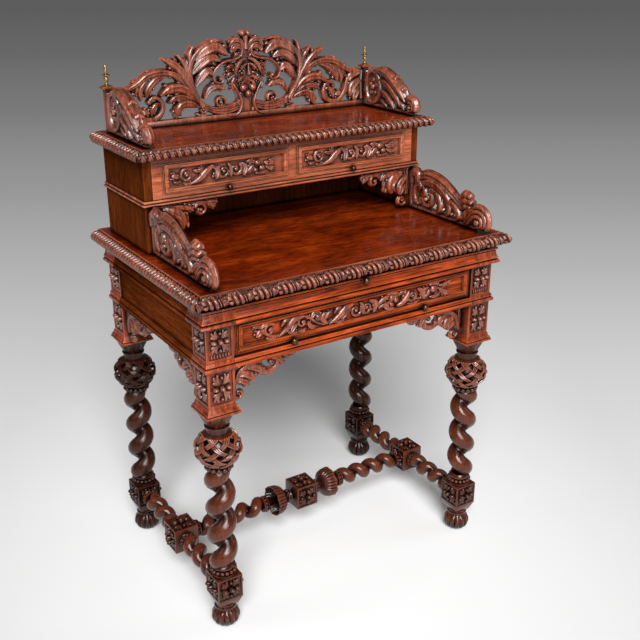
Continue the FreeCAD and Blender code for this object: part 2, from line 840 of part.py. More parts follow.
def upper_top():
    half = upper_half - upper_edging_width
    return box(-half, half, upper_front_y + upper_edging_width, upper_back_y, case_top_z, upper_top_z)


def upper_edging():
    width = upper_edging_width
    return mitred_surround(
        edging_shares, width, upper_thickness, case_top_z, upper_half, upper_front_y, upper_back_y
    )


def gallery_back():
    """Pierced carved gallery between the corner posts."""
    half = gallery_post_x - gallery_post_size / 2
    y = gallery_y - gallery_thickness / 2

    def place(u, v):
        return V(half * u, y, upper_top_z + gallery_height * v)

    right_runs = gallery_half_run_shares
    left_runs = [[(-u, v) for u, v in reversed(run)] for run in reversed(right_runs)]
    foot_run = [[(1.0, 0.0), (-1.0, 0.0)]]
    left_cuts = [((-a[0], a[1]), (-b[0], b[1])) for a, b in gallery_cut_shares]
    runs = right_runs + foot_run + left_runs
    return carved_plate(runs, gallery_cut_shares + left_cuts, place, V(0, gallery_thickness, 0))


def gallery_post():
    """Left-hand corner post of the gallery, with its cap."""
    x = -gallery_post_x
    half = gallery_post_size / 2
    half_cap = gallery_cap_size / 2
    cap_base = upper_top_z + gallery_post_height
    shaft = box(x - half, x + half, gallery_y - half, gallery_y + half, upper_top_z, cap_base)
    cap = box(x - half_cap, x + half_cap, gallery_y - half_cap, gallery_y + half_cap,
              cap_base, cap_base + gallery_cap_height)
    return fused([shaft, cap])


def gallery_wing():
    """Left-hand carved wing running forward from the corner post."""
    x = -gallery_post_x - wing_thickness / 2
    y = gallery_y - gallery_post_size / 2

    def place(u, v):
        return V(x, y - wing_length * u, upper_top_z + wing_height * v)

    return carved_plate(wing_run_shares, wing_cut_shares, place, V(wing_thickness, 0, 0))


def finial():
    """Left-hand brass finial on its post."""
    base = upper_top_z + gallery_post_height + gallery_cap_height
    turned_finial = turned(finial_shares, finial_radius, base, finial_height, knob_sides)
    return moved(turned_finial, -gallery_post_x, gallery_y, 0)


def build():
    """Every node of the table, by name."""
    nodes = {
        "stretcher_cross": cross_stretcher(),
        "front_rail": front_rail(),
        "slide_rail": slide_rail(),
        "apron_back": back_apron(),
        "drawer_runners": pair(drawer_runner()),
        "slide_bearers": pair(slide_bearer()),
        "front_stiles": pair(front_stile()),
        "tabletop": tabletop(),
        "tabletop_edging": tabletop_edging(),
        "case_back": case_back(),
        "case_floor": case_floor(),
        "case_stiles": pair(case_stile()),
        "case_guides": pair(case_guide()),
        "case_divider": case_divider(),
        "case_moulding": case_moulding(),
        "upper_top": upper_top(),
        "upper_edging": upper_edging(),
        "gallery_back": gallery_back(),
        "finials": pair(finial()),
        "side_cornices": pair(side_cornice()),
        "front_brackets": pair(front_bracket()),
        "side_brackets": pair(side_brackets()),
        "case_brackets": pair(case_bracket()),
        "gallery_posts": pair(gallery_post()),
        "gallery_wings": pair(gallery_wing()),
    }
    left_leg = leg()
    left_nodes = {
        "leg_front": moved(left_leg, -leg_x, leg_front_y, 0),
        "leg_back": moved(left_leg, -leg_x, leg_back_y, 0),
        "post_front": post(leg_front_y, True),
        "post_back": post(leg_back_y, False),
        "stretcher": side_stretcher(),
        "apron": side_apron(),
        "case_side": case_side(),
        "console": console(),
    }
    for name, shape in left_nodes.items():
        nodes[name + "_left"] = shape
        nodes[name + "_right"] = mirrored(shape)
    nodes.update(frieze_drawer())
    nodes.update(writing_slide())
    for name, shape in small_drawer().items():
        nodes[name] = shape
        nodes[name.replace("left", "right")] = mirrored(shape)
    return nodes


os.makedirs("parts", exist_ok=True)
for node, shape in build().items():
    shape.exportStep("parts/" + node + ".step")
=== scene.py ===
import math

import bpy
import numpy as np
from mathutils import Matrix, Vector


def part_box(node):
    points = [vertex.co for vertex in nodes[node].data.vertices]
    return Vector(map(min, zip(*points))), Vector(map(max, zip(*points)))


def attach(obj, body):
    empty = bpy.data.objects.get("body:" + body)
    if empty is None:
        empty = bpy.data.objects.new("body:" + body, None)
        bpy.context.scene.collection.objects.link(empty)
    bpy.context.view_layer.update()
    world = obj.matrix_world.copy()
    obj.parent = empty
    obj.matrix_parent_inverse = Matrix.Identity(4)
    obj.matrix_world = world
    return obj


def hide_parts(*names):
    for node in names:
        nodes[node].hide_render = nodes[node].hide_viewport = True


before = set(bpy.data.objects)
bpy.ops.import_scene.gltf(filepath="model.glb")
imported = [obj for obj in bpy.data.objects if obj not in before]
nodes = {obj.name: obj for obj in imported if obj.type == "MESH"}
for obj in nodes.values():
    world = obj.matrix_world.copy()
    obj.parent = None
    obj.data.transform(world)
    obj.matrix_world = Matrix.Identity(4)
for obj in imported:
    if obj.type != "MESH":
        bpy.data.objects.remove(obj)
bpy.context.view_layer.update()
scene = bpy.context.scene
MM = 0.001
UP, DOWN = (0, 0, 1), (0, 0, -1)
TO_FRONT, TO_BACK, TO_LEFT, TO_RIGHT = (0, -1, 0), (0, 1, 0), (-1, 0, 0), (1, 0, 0)
FACING_FRONT = (TO_RIGHT, UP, TO_FRONT)
FACING_LEFT = (TO_FRONT, UP, TO_LEFT)
MIRROR_X = Matrix.Scale(-1, 4, Vector(TO_RIGHT))
MIRROR_Z = Matrix.Scale(-1, 4, Vector(UP))


# Hand work: small steps that every piece uses

def put_down():
    """Leaves edit mode and clears the selection."""
    if bpy.context.mode != "OBJECT":
        bpy.ops.object.mode_set(mode="OBJECT")
    bpy.ops.object.select_all(action="DESELECT")


def pick_up(piece):
    put_down()
    piece.select_set(True)
    bpy.context.view_layer.objects.active = piece


def set_in_place():
    """Puts the place, turn and scale of the piece in hand into its mesh."""
    bpy.ops.object.transform_apply(location=True, rotation=True, scale=True)
    return bpy.context.object


def outward(piece):
    """Turns every face of a closed piece outwards."""
    pick_up(piece)
    bpy.ops.object.mode_set(mode="EDIT")
    bpy.ops.mesh.select_all(action="SELECT")
    bpy.ops.mesh.normals_make_consistent(inside=False)
    bpy.ops.object.mode_set(mode="OBJECT")
    return piece


def built(name, points, faces):
    """Closed piece from points in metres."""
    mesh = bpy.data.meshes.new(name)
    mesh.from_pydata(points, [], faces)
    made = bpy.data.objects.new(name, mesh)
    scene.collection.objects.link(made)
    return outward(made)


def tube_faces(rows, cols):
    """Faces of a tube of rings, closed at both ends."""
    faces = []
    for i in range(rows - 1):
        for j in range(cols):
            k = (j + 1) % cols
            faces.append((i * cols + j, i * cols + k, (i + 1) * cols + k, (i + 1) * cols + j))
    return faces + [tuple(range(cols)), tuple(range((rows - 1) * cols, rows * cols))]


def rods(name, thick, sides, lines):
    """Round rods along lines of points in mm, as one piece."""
    path = bpy.data.curves.new(name, "CURVE")
    path.dimensions = "3D"
    path.bevel_depth = thick * MM
    path.bevel_resolution = sides
    path.use_fill_caps = True
    for line in lines:
        spline = path.splines.new("POLY")
        spline.points.add(len(line) - 1)
        for point, place in zip(spline.points, line):
            point.co = (*[c * MM for c in place], 1)
    made = bpy.data.objects.new(name, path)
    scene.collection.objects.link(made)
    pick_up(made)
    bpy.ops.object.convert(target="MESH")
    return outward(bpy.context.object)


def joined(name, pieces):
    put_down()
    for piece in pieces:
        piece.select_set(True)
    bpy.context.view_layer.objects.active = pieces[0]
    if len(pieces) > 1:
        bpy.ops.object.join()
    piece = set_in_place()
    piece.name = name
    piece.data.name = name
    return piece


def copied(master, name, matrix):
    """A copy with a mesh of its own, moved by a matrix."""
    piece = master.copy()
    piece.data = master.data.copy()
    piece.name = name
    piece.data.name = name
    scene.collection.objects.link(piece)
    piece.data.transform(matrix)
    if matrix.determinant() < 0:
        piece.data.flip_normals()
    return piece


def discard(*masters):
    for master in masters:
        bpy.data.objects.remove(master)


def both(name, left_piece):
    """The left-hand piece and its mirror image as one."""
    return joined(name, [left_piece, copied(left_piece, name + "_right", MIRROR_X)])


def fit(piece, material, *replaced, body="table", slot="carved_oak", sharp=40):
    """Smooths a finished piece, gives it its finish and puts it on its body."""
    pick_up(piece)
    bpy.ops.object.shade_smooth_by_angle(angle=math.radians(sharp))
    piece.data.materials.clear()
    piece.data.materials.append(material)
    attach(piece, body)
    if replaced:
        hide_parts(*replaced)


def box_mm(node):
    """Lowest and highest corner of a node, in mm."""
    return [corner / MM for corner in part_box(node)]


def middle_of(node):
    """Centre of a node's box, in mm."""
    low, high = box_mm(node)
    return (low + high) / 2


def moved(x, y, z=0.0):
    """Matrix of a move in mm."""
    return Matrix.Translation((x * MM, y * MM, z * MM))


# Turned work

def turned(name, profile, sides=32):
    """Turns (radius, height) pairs in mm about Z: a disc is drawn up and resized step by step."""
    put_down()
    radius, height = profile[0]
    bpy.ops.mesh.primitive_circle_add(vertices=sides, radius=radius * MM, fill_type="NGON",
                                      location=(0, 0, height * MM))
    piece = set_in_place()
    piece.name = name
    bpy.ops.object.mode_set(mode="EDIT")
    bpy.ops.mesh.select_all(action="SELECT")
    for (r0, z0), (r1, z1) in zip(profile, profile[1:]):
        bpy.ops.mesh.extrude_region_move(TRANSFORM_OT_translate={"value": (0, 0, (z1 - z0) * MM)})
        bpy.ops.transform.resize(value=(r1 / r0, r1 / r0, 1), center_override=(0, 0, z1 * MM))
    bpy.ops.object.mode_set(mode="OBJECT")
    return outward(piece)


def fluted(piece, count, depth, low, high):
    """Works rounded flutes into a turned piece between two heights."""
    for v in piece.data.vertices:
        share = (v.co.z / MM - low) / (high - low)
        if 0 < share < 1:
            angle = math.atan2(v.co.y, v.co.x)
            swell = abs(math.cos(count * angle / 2)) ** 0.7 - 0.6
            k = 1 + depth * swell * min(1, 4 * share, 4 * (1 - share))
            v.co.x *= k
            v.co.y *= k
    return piece


def bead_ring(name, radius, height, bead, count):
    beads = []
    for k in range(count):
        angle = 2 * math.pi * (k + 0.5) / count
        put_down()
        bpy.ops.mesh.primitive_uv_sphere_add(
            segments=10, ring_count=7, radius=bead * MM,
            location=(radius * MM * math.cos(angle), radius * MM * math.sin(angle), height * MM))
        beads.append(bpy.context.object)
    return joined(name, beads)


STEPS_PER_TURN = 30
EASE = 0.25


def barley_twist(name, base, length, rope, coil, pitch, start, sides=5):
    """Single-start twist: a thick rope wound about Z, drawn in to the axis at both ends."""
    turns = length / pitch
    count = round(STEPS_PER_TURN * turns)
    line = []
    for i in range(count + 1):
        wound = turns * i / count
        reach = coil * min(1, EASE + wound / EASE, EASE + (turns - wound) / EASE)
        angle = math.radians(start) + 2 * math.pi * wound
        line.append((reach * math.cos(angle), reach * math.sin(angle), base + wound * pitch))
    return rods(name, rope, sides, [line])


BLOCK_HALF = 29
PANEL_EDGE, PANEL_DEPTH = 6.5, 2.8


def panelled_block(name, low, high, foot):
    """Square block with a sunk panel in each side and its foot drawn in."""
    put_down()
    bpy.ops.mesh.primitive_cube_add(size=2 * BLOCK_HALF * MM, location=(0, 0, (low + high) / 2 * MM))
    piece = bpy.context.object
    piece.name = name
    piece.scale.z = (high - low) / (2 * BLOCK_HALF)
    set_in_place()
    bpy.ops.object.mode_set(mode="EDIT")
    bpy.ops.mesh.select_mode(type="FACE")
    if foot:
        choose_faces(piece, lambda f: f.normal.z < -0.9)
        bpy.ops.mesh.extrude_region_move(TRANSFORM_OT_translate={"value": (0, 0, -foot * MM)})
        bpy.ops.transform.resize(value=(0.7, 0.7, 1), center_override=(0, 0, (low - foot) * MM))
    choose_faces(piece, lambda f: abs(f.normal.z) < 0.1)
    sink(3.8, 1.0, 2.6)
    bpy.ops.object.mode_set(mode="OBJECT")
    soften(piece, 1.0)
    return outward(piece)


def sink(edge, slope, depth):
    """Sinks a panel into every chosen face, inside a plain edge and a short slope."""
    bpy.ops.mesh.inset(thickness=edge * MM, use_individual=True)
    bpy.ops.mesh.inset(thickness=slope * MM, depth=-depth * MM, use_individual=True)


def choose_faces(piece, wanted):
    """Selects faces in edit mode by a test."""
    bpy.ops.object.mode_set(mode="OBJECT")
    for part in (piece.data.vertices, piece.data.edges):
        part.foreach_set("select", [False] * len(part))
    for face in piece.data.polygons:
        face.select = wanted(face)
    bpy.ops.object.mode_set(mode="EDIT")


def soften(piece, width):
    """Rounds the sharp edges of a piece a little."""
    pick_up(piece)
    edge = piece.modifiers.new("soften", "BEVEL")
    edge.width = width * MM
    edge.segments = 2
    edge.limit_method = "ANGLE"
    edge.angle_limit = math.radians(35)
    bpy.ops.object.modifier_apply(modifier="soften")


# Carved work: tapering strokes laid side by side on a plane, as a carver cuts them

ACROSS = np.linspace(-1, 1, 11)
BACK_STEP, DEEPEST_BACK = 1.36, 2.2
TAPER, THINNEST = 2.5, 0.35
TINY = 0.00001


def drawn(points, spacing=2.2):
    """Smooth line through points in mm, with its shares of length."""
    p = np.array(points, float)
    p = np.vstack([2 * p[0] - p[1], p, 2 * p[-1] - p[-2]])
    line = []
    for a, b, c, d in zip(p, p[1:], p[2:], p[3:]):
        count = max(3, int(np.linalg.norm(c - b) / spacing))
        t = np.arange(count)[:, None] / count
        line.append(0.5 * (2 * b + (c - a) * t + (2 * a - 5 * b + 4 * c - d) * t**2
                           + (3 * b - a - 3 * c + d) * t**3))
    line = np.vstack(line + [p[-2:-1]])
    steps = np.linalg.norm(np.diff(line, axis=0), axis=1)
    shares = np.concatenate([[0], np.cumsum(steps)])
    return line, shares / shares[-1], shares[-1]


def leaning(direction, degrees):
    a = math.radians(degrees)
    x, y = direction
    return np.array([x * math.cos(a) - y * math.sin(a), x * math.sin(a) + y * math.cos(a)])


class Carving:
    """Strokes, leaves and berries in plane coordinates (along, up, out), in mm."""

    def __init__(self, thick, both_sides=False, relief=1.0):
        self.thick = thick
        self.relief = relief
        self.both_sides = both_sides
        self.points = []
        self.faces = []
        self.count = 0
        self.depth = 0.0

    def flat_back(self):
        """Level of the next flat back, so that no two backs lie in one plane."""
        self.depth = (self.depth + BACK_STEP) % DEEPEST_BACK
        return -self.depth

    def add(self, points, faces):
        self.points.append(points)
        self.faces += [tuple(i + self.count for i in face) for face in faces]
        self.count += len(points)

    def stroke(self, points, widths, lift=0.0, groove=0.0, crown=0.75, rise=0.0, tilt=0.0):
        """Swept stroke with half widths along its length, a vein, a rising end and one prouder edge."""
        line, shares, length = drawn(points)
        half = np.interp(shares, np.linspace(0, 1, len(widths)), widths)
        ends = np.minimum(1, np.minimum(shares, 1 - shares) * length / TAPER + 0.35)
        half = np.maximum(half * np.sqrt(ends), THINNEST)
        tangent = np.gradient(line, axis=0)
        tangent /= np.linalg.norm(tangent, axis=1)[:, None] + 1e-9
        normal = np.stack([-tangent[:, 1], tangent[:, 0]], axis=1)
        dome = np.sqrt(np.clip(1 - ACROSS**2, 0, 1))
        swell = dome * (1 - groove * np.exp(-(ACROSS / 0.3) ** 2)) * (1 + tilt * ACROSS)
        out = self.thick + lift + self.relief * crown * half[:, None] * swell[None, :]
        out += self.relief * rise * shares[:, None] ** 2
        out *= (0.55 + 0.45 * dome)[None, :]
        low = -out if self.both_sides else np.full_like(out, self.flat_back())
        plan = line[:, None, :] + normal[:, None, :] * (half[:, None] * ACROSS[None, :])[:, :, None]
        front = np.concatenate([plan, out[:, :, None]], axis=2)
        back = np.concatenate([plan, low[:, :, None]], axis=2)
        if self.both_sides:
            q = np.linspace(1, -1, 7)[1:-1]
            roll = np.minimum(3.0, 0.3 * half)[:, None] * np.sqrt(1 - q**2)[None, :]
            roll += groove * 0.28 * half[:, None] * np.cos(3 * np.pi * q)[None, :]
            rims = []
            for side, order in ((-1, 1), (0, -1)):
                wide = (half[:, None] + roll) * (1 if side else -1)
                plan_rim = line[:, None, :] + normal[:, None, :] * wide[:, :, None]
                deep = out[:, side][:, None] * q[None, :] * order
                rims.append(np.concatenate([plan_rim, deep[:, :, None]], axis=2))
            ring = np.concatenate([front, rims[0], back[:, ::-1], rims[1]], axis=1)
        else:
            ring = np.concatenate([front, back[:, [-1, 0]]], axis=1)
        self.add(ring.reshape(-1, 3), tube_faces(*ring.shape[:2]))

    def lobe(self, points, half, lift=0.0):
        """Broad, blunt leaf lobe with one vein, teeth along its edges and its tip curling out."""
        shape = (0.4, 0.8, 1.0, 1.0, 0.85, 0.3)
        self.stroke(points, [half * s for s in shape], lift, 0.35, 0.75, 0.4 * half, 0.45)
        line, shares, _ = drawn(points)
        tangent = np.gradient(line, axis=0)
        for share in (0.5, 0.76):
            k = int(np.searchsorted(shares, share).clip(1, len(line) - 2))
            ahead = tangent[k] / (np.linalg.norm(tangent[k]) + 1e-9)
            for side in (1, -1):
                size = half * (1.35 - 0.5 * share)
                start = line[k] + leaning(ahead, side * 90) * half * 0.45
                bend = start + leaning(ahead, side * 45) * size * 0.6
                self.stroke([start, bend, bend + leaning(ahead, side * 8) * size * 0.4],
                            (half * 0.34, half * 0.48, half * 0.4, 0.8), lift - 0.6, 0.0, 0.7,
                            0.25 * half)

    def berry(self, u, v, ru, rv, height, lift=0.0):
        """Rounded boss, with a flat back or doubled on both sides."""
        rings, segments = 5, 14
        quarter = np.linspace(0, np.pi / 2, rings + 1)
        radius = np.sin(quarter)
        radius[0] = 0.06
        out = self.thick * 0.5 + lift + height * np.cos(quarter)
        if self.both_sides:
            radius = np.concatenate([radius, radius[::-1]])
            out = np.concatenate([out, -out[::-1]])
        else:
            radius = np.append(radius, 1.0)
            out = np.append(out, self.flat_back())
        turn = 2 * np.pi * np.arange(segments) / segments
        along = u + ru * np.outer(radius, np.cos(turn))
        above = v + rv * np.outer(radius, np.sin(turn))
        ring = np.stack([along, above, np.outer(out, np.ones(segments))], axis=2)
        self.add(ring.reshape(-1, 3), tube_faces(*ring.shape[:2]))

    def volute(self, u, v, radius, turns, start, width, hand=1, lift=0.0, groove=0.0):
        """Spiral scroll that winds in to a berry."""
        points = []
        count = max(8, int(turns * 10))
        for i in range(count + 1):
            share = i / count
            r = radius * (1 - 0.74 * share)
            a = math.radians(start) + hand * 2 * math.pi * turns * share
            points.append((u + r * math.cos(a), v + r * math.sin(a)))
        self.stroke(points, (width, width * 0.85, width * 0.6), lift, groove)
        self.berry(u, v, radius * 0.32, radius * 0.32, self.thick * 0.5 + width, lift)

    def mirrored_half(self):
        """Adds the mirror image across the middle."""
        points = np.vstack(self.points)
        points[:, 0] *= -1
        self.add(points, [face[::-1] for face in self.faces])

    def piece(self, name, origin, along, up, out):
        """Sets the carving on a plane: origin in mm, and three directions."""
        placed = np.array(origin, float) + np.vstack(self.points) @ np.array([along, up, out], float)
        return built(name, (placed * MM).tolist(), self.faces)


# Finishes

def shader(name):
    material = bpy.data.materials.new(name)
    material.use_nodes = True
    tree = material.node_tree
    tree.nodes.clear()
    out = tree.nodes.new("ShaderNodeOutputMaterial")
    bsdf = tree.nodes.new("ShaderNodeBsdfPrincipled")
    tree.links.new(bsdf.outputs[0], out.inputs[0])
    return material, tree, bsdf


def wire(tree, node, inputs):
    """Gives a node's inputs their values, or joins them to other sockets."""
    for name, source in inputs.items():
        if isinstance(source, bpy.types.NodeSocket):
            tree.links.new(source, node.inputs[name])
        else:
            node.inputs[name].default_value = source
    return node


def ramp(tree, source, stops):
    """Colour ramp over a value; stops are (position, colour) or (position, grey level)."""
    made = wire(tree, tree.nodes.new("ShaderNodeValToRGB"), {0: source})
    bands = made.color_ramp.elements
    while len(bands) < len(stops):
        bands.new(0.5)
    for band, (position, colour) in zip(bands, stops):
        band.position = position
        band.color = (*colour, 1) if isinstance(colour, tuple) else (colour, colour, colour, 1)
    return made.outputs[0]


def noise(tree, vector, scale, detail=4.0, rough=0.55, twist=0.0):
    made = wire(tree, tree.nodes.new("ShaderNodeTexNoise"), {
        "Vector": vector, "Scale": scale, "Detail": detail, "Roughness": rough, "Distortion": twist})
    return made.outputs["Fac"]


def stretched(tree, scale):
    """Object coordinates stretched along the grain."""
    place = tree.nodes.new("ShaderNodeTexCoord")
    mapping = tree.nodes.new("ShaderNodeMapping")
    wire(tree, mapping, {"Vector": place.outputs["Object"], "Scale": scale})
    return mapping.outputs["Vector"]


def blended(tree, kind, share, first, second):
    """Mixes two colours."""
    made = tree.nodes.new("ShaderNodeMix")
    made.data_type = "RGBA"
    made.blend_type = kind
    return wire(tree, made, {0: share, 6: first, 7: second}).outputs[2]


def maths(tree, kind, operation, *sources):
    """Maths node over sockets or values."""
    made = tree.nodes.new(kind)
    made.operation = operation
    return wire(tree, made, dict(enumerate(sources)))


def oak(name, dark, middle, light, grain, gloss=0.3, recess=0.02, wear_and_highlight=0.0, blotch=0.35, edges=0.0,
        shine=0.4, figure=0.2, fine=1.0):
    """Polished oak: pores and streaks along the grain, wax and painted shade in recesses, wear and painted
    highlight on crests and edges.
    """
    material, tree, bsdf = shader(name)
    grained = stretched(tree, [4 if axis == grain else 60 * fine for axis in "XYZ"])
    plain = stretched(tree, (1, 1, 1))
    streak = noise(tree, grained, 1.3, 7, 0.62, 1.2)
    colour = ramp(tree, streak, [(0.5 - figure, dark), (0.5, middle), (0.5 + figure * 1.1, light)])
    pores = noise(tree, grained, 9.0, 3, 0.5)
    colour = blended(tree, "MULTIPLY", 0.75, colour, ramp(tree, pores, [(0.36, 0.35), (0.52, 1.0)]))
    cloud = noise(tree, plain, 9.0, 5, 0.62, 0.5)
    colour = blended(tree, "MULTIPLY", blotch, colour, ramp(tree, cloud, [(0.3, 0.4), (0.62, 1.2)]))
    # Crests (pointiness) and edges (bevel) are mixed towards a brighter colour: real wear and painted
    # highlight.
    if wear_and_highlight or edges:
        shape = tree.nodes.new("ShaderNodeNewGeometry")
        if wear_and_highlight:
            crest = ramp(tree, shape.outputs["Pointiness"], [(0.53, 0.0), (0.66, 1.0)])
        else:
            rounded = wire(tree, tree.nodes.new("ShaderNodeBevel"), {"Radius": 0.003})
            rounded.samples = 4
            turn = maths(tree, "ShaderNodeVectorMath", "DOT_PRODUCT", rounded.outputs[0],
                         shape.outputs["Normal"])
            crest = ramp(tree, turn.outputs["Value"], [(0.8, 1.0), (0.985, 0.0)])
        part = maths(tree, "ShaderNodeMath", "MULTIPLY", crest, wear_and_highlight or edges)
        wear_highlight_colour = (*[min(1, 1.6 * c) for c in light], 1)
        colour = blended(tree, "MIX", part.outputs[0], colour, wear_highlight_colour)
    # Ambient occlusion darkens recesses and quirks: dark wax and painted shade.
    shade = wire(tree, tree.nodes.new("ShaderNodeAmbientOcclusion"), {"Distance": recess})
    shade.samples = 8
    wax_and_shade = ramp(tree, shade.outputs["AO"], [(0.3, 0.02), (0.6, 0.16), (0.8, 0.55), (0.97, 1.0)])
    polish = ramp(tree, noise(tree, plain, 30.0, 4), [(0.3, gloss - 0.08), (0.7, gloss + 0.16)])
    bump = wire(tree, tree.nodes.new("ShaderNodeBump"), {
        "Strength": 0.35, "Distance": 0.0006, "Height": pores})
    wire(tree, bsdf, {
        "Base Color": blended(tree, "MULTIPLY", 1.0, colour, wax_and_shade), "Roughness": polish,
        "Normal": bump.outputs[0], "Specular IOR Level": shine, "Coat Weight": 0.15 * shine,
        "Coat Roughness": 0.14})
    return material


def cast_metal(name, dull, bright, rough):
    """Cast metal with a mottled tone and uneven polish."""
    material, tree, bsdf = shader(name)
    plain = stretched(tree, (1, 1, 1))
    colour = ramp(tree, noise(tree, plain, 220.0, 5), [(0.35, dull), (0.65, bright)])
    wear = ramp(tree, noise(tree, plain, 400.0, 3), [(0.3, rough - 0.08), (0.7, rough + 0.15)])
    wire(tree, bsdf, {"Base Color": colour, "Roughness": wear, "Metallic": 1.0})
    return material


DEEP = (0.035, 0.008, 0.0035)
DULL = {"gloss": 0.5, "recess": 0.009, "blotch": 0.6, "edges": 0.3, "shine": 0.0}
carved_oak = oak("carved_oak", DEEP, (0.3, 0.068, 0.03), (0.62, 0.18, 0.088), "Z",
                 gloss=0.25, wear_and_highlight=0.55, blotch=0.5, shine=1.0)
rich_oak = oak("rich_oak", DEEP, (0.33, 0.058, 0.018), (0.66, 0.155, 0.055), "Z",
               gloss=0.25, wear_and_highlight=0.55, blotch=0.55, shine=0.8)
edging_oak = oak("edging_oak", DEEP, (0.29, 0.066, 0.028), (0.6, 0.17, 0.08), "X",
                 gloss=0.25, recess=0.014, wear_and_highlight=0.5, blotch=0.5, shine=0.8)
turned_oak = oak("turned_oak", (0.022, 0.005, 0.002), (0.096, 0.0195, 0.0066), (0.225, 0.05, 0.0165), "Z",
                 gloss=0.18, recess=0.036, wear_and_highlight=0.5, blotch=0.4, shine=0.38, figure=0.4)
# Darker copy of the turned oak for the back legs and their bulbs: painted shade.
back_leg_oak_in_shade = oak("back_leg_oak_in_shade", (0.008, 0.002, 0.001), (0.035, 0.0075, 0.003), (0.1, 0.024, 0.009), "Z",
               gloss=0.2, recess=0.018, wear_and_highlight=0.4, blotch=0.4, shine=0.28, figure=0.4)
bulb_oak = oak("bulb_oak", (0.03, 0.007, 0.003), (0.16, 0.037, 0.016), (0.42, 0.118, 0.056), "Z",
               gloss=0.2, recess=0.01, wear_and_highlight=0.6, blotch=0.4, shine=0.8)
rail_oak = oak("rail_oak", (0.085, 0.0085, 0.0014), (0.46, 0.061, 0.0105), (0.86, 0.155, 0.033), "X",
               gloss=0.32, recess=0.022, blotch=0.75, edges=0.65, shine=0.16, figure=0.18)
case_oak = oak("case_oak", (0.1, 0.018, 0.006), (0.5, 0.105, 0.04), (0.8, 0.235, 0.098), "X",
               gloss=0.38, recess=0.016, blotch=0.7, edges=0.6, shine=0.5, figure=0.18)
side_oak = oak("side_oak", (0.06, 0.012, 0.003), (0.19, 0.04, 0.0088), (0.31, 0.074, 0.017), "Y",
               figure=0.24, **DULL)
# Darker copy of the board oak for the case back: painted shade of the shelf space.
back_board_oak_in_shade = oak("back_board_oak_in_shade", (0.016, 0.003, 0.001), (0.045, 0.009, 0.002), (0.08, 0.017, 0.004), "Z",
                figure=0.26, **DULL)
board_oak = oak("board_oak", (0.055, 0.011, 0.0028), (0.15, 0.032, 0.007), (0.23, 0.057, 0.014), "Z",
                figure=0.26, **DULL)
post_oak = oak("post_oak", (0.05, 0.006, 0.0013), (0.31, 0.045, 0.0098), (0.66, 0.13, 0.034), "Z",
               gloss=0.3, recess=0.018, blotch=0.75, edges=0.7, shine=0.45, figure=0.19)
top_oak = oak("top_oak", (0.075, 0.0065, 0.0005), (0.21, 0.02, 0.0016), (0.45, 0.064, 0.0068), "X",
              gloss=0.17, blotch=0.9, shine=0.22, figure=0.3, fine=0.25)
plain_oak = oak("plain_oak", (0.14, 0.065, 0.03), (0.26, 0.13, 0.06), (0.36, 0.2, 0.1), "Y",
                gloss=0.55, recess=0.03)
bronze = cast_metal("bronze", (0.05, 0.03, 0.018), (0.16, 0.1, 0.05), 0.32)
brass = cast_metal("brass", (0.24, 0.15, 0.06), (0.5, 0.34, 0.15), 0.3)


# Legs

def ornament(thick, wide, high, strip=0.0):
    """Filling of a sunk panel: three berries in a row, four leaves of three fingers and two buds.

    A fluted strip may run below it.
    """
    made = Carving(thick)
    middle = strip / 2
    tall = high - middle
    for sv in (1, -1):
        for su in (1, -1):
            for tip_u, tip_v, bow in ((0.34, 0.94, 0.12), (0.76, 0.84, 0.1), (0.86, 0.44, -0.06)):
                root = Vector((su * 0.2 * wide, middle + sv * 0.26 * tall))
                tip = Vector((su * tip_u * wide, middle + sv * tip_v * tall))
                bend = root.lerp(tip, 0.55) + Vector((su * bow * wide, 0))
                made.stroke([root[:], bend[:], tip[:]], (0.1 * wide, 0.21 * wide, 0.13 * wide),
                            0.2, 0.25, 0.8)
        made.berry(0, middle + sv * 0.72 * tall, 0.17 * wide, 0.2 * wide, 0.36 * wide)
    for su in (1, -1):
        made.berry(su * 0.62 * wide, middle, 0.31 * wide, 0.24 * wide, 0.5 * wide)
    made.berry(0, middle, 0.29 * wide, 0.28 * wide, 0.62 * wide)
    if strip:
        for k in range(-3, 4):
            made.stroke([(k * 0.28 * wide, -high), (k * 0.28 * wide, -high + strip - 1)],
                        (0.08 * wide, 0.1 * wide, 0.08 * wide))
    return made


FOUR_SIDES = [(TO_RIGHT, TO_FRONT), (TO_LEFT, TO_BACK), (TO_FRONT, TO_LEFT), (TO_BACK, TO_RIGHT)]


def block_panels(high, level):
    """The ornament in the four sunk panels of a block."""
    panels = []
    for along, out in FOUR_SIDES:
        x, y, _ = Vector(out) * (BLOCK_HALF - PANEL_DEPTH)
        carving = ornament(1.5, BLOCK_HALF - PANEL_EDGE, high)
        panels.append(carving.piece("panel", (x, y, level), along, UP, out))
    return panels


def lattice_bulb(name, low, high, radius):
    """Openwork bulb: triple straps wind both ways and pass over and under each other."""
    count, steps, sweep = 8, 36, math.radians(112)
    strand_gap, weave, inset = 5.0, 2.0, 3.4
    straps = []
    for hand in (1, -1):
        for k in range(count):
            for strand in (-1, 0, 1):
                line = []
                for i in range(steps):
                    share = i / (steps - 1)
                    r = radius * (0.5 + 0.5 * math.sin(math.pi * (0.1 + 0.8 * share)) ** 0.9)
                    crossing = (share - 0.5) * sweep * count / math.pi
                    angle = hand * sweep * (share - 0.5) + 2 * math.pi * k / count + strand * strand_gap / r
                    r += hand * math.cos(math.pi * crossing) * weave - inset
                    line.append((r * math.cos(angle), r * math.sin(angle), low + (high - low) * share))
                straps.append(line)
    return rods(name, 1.55, 1, straps)


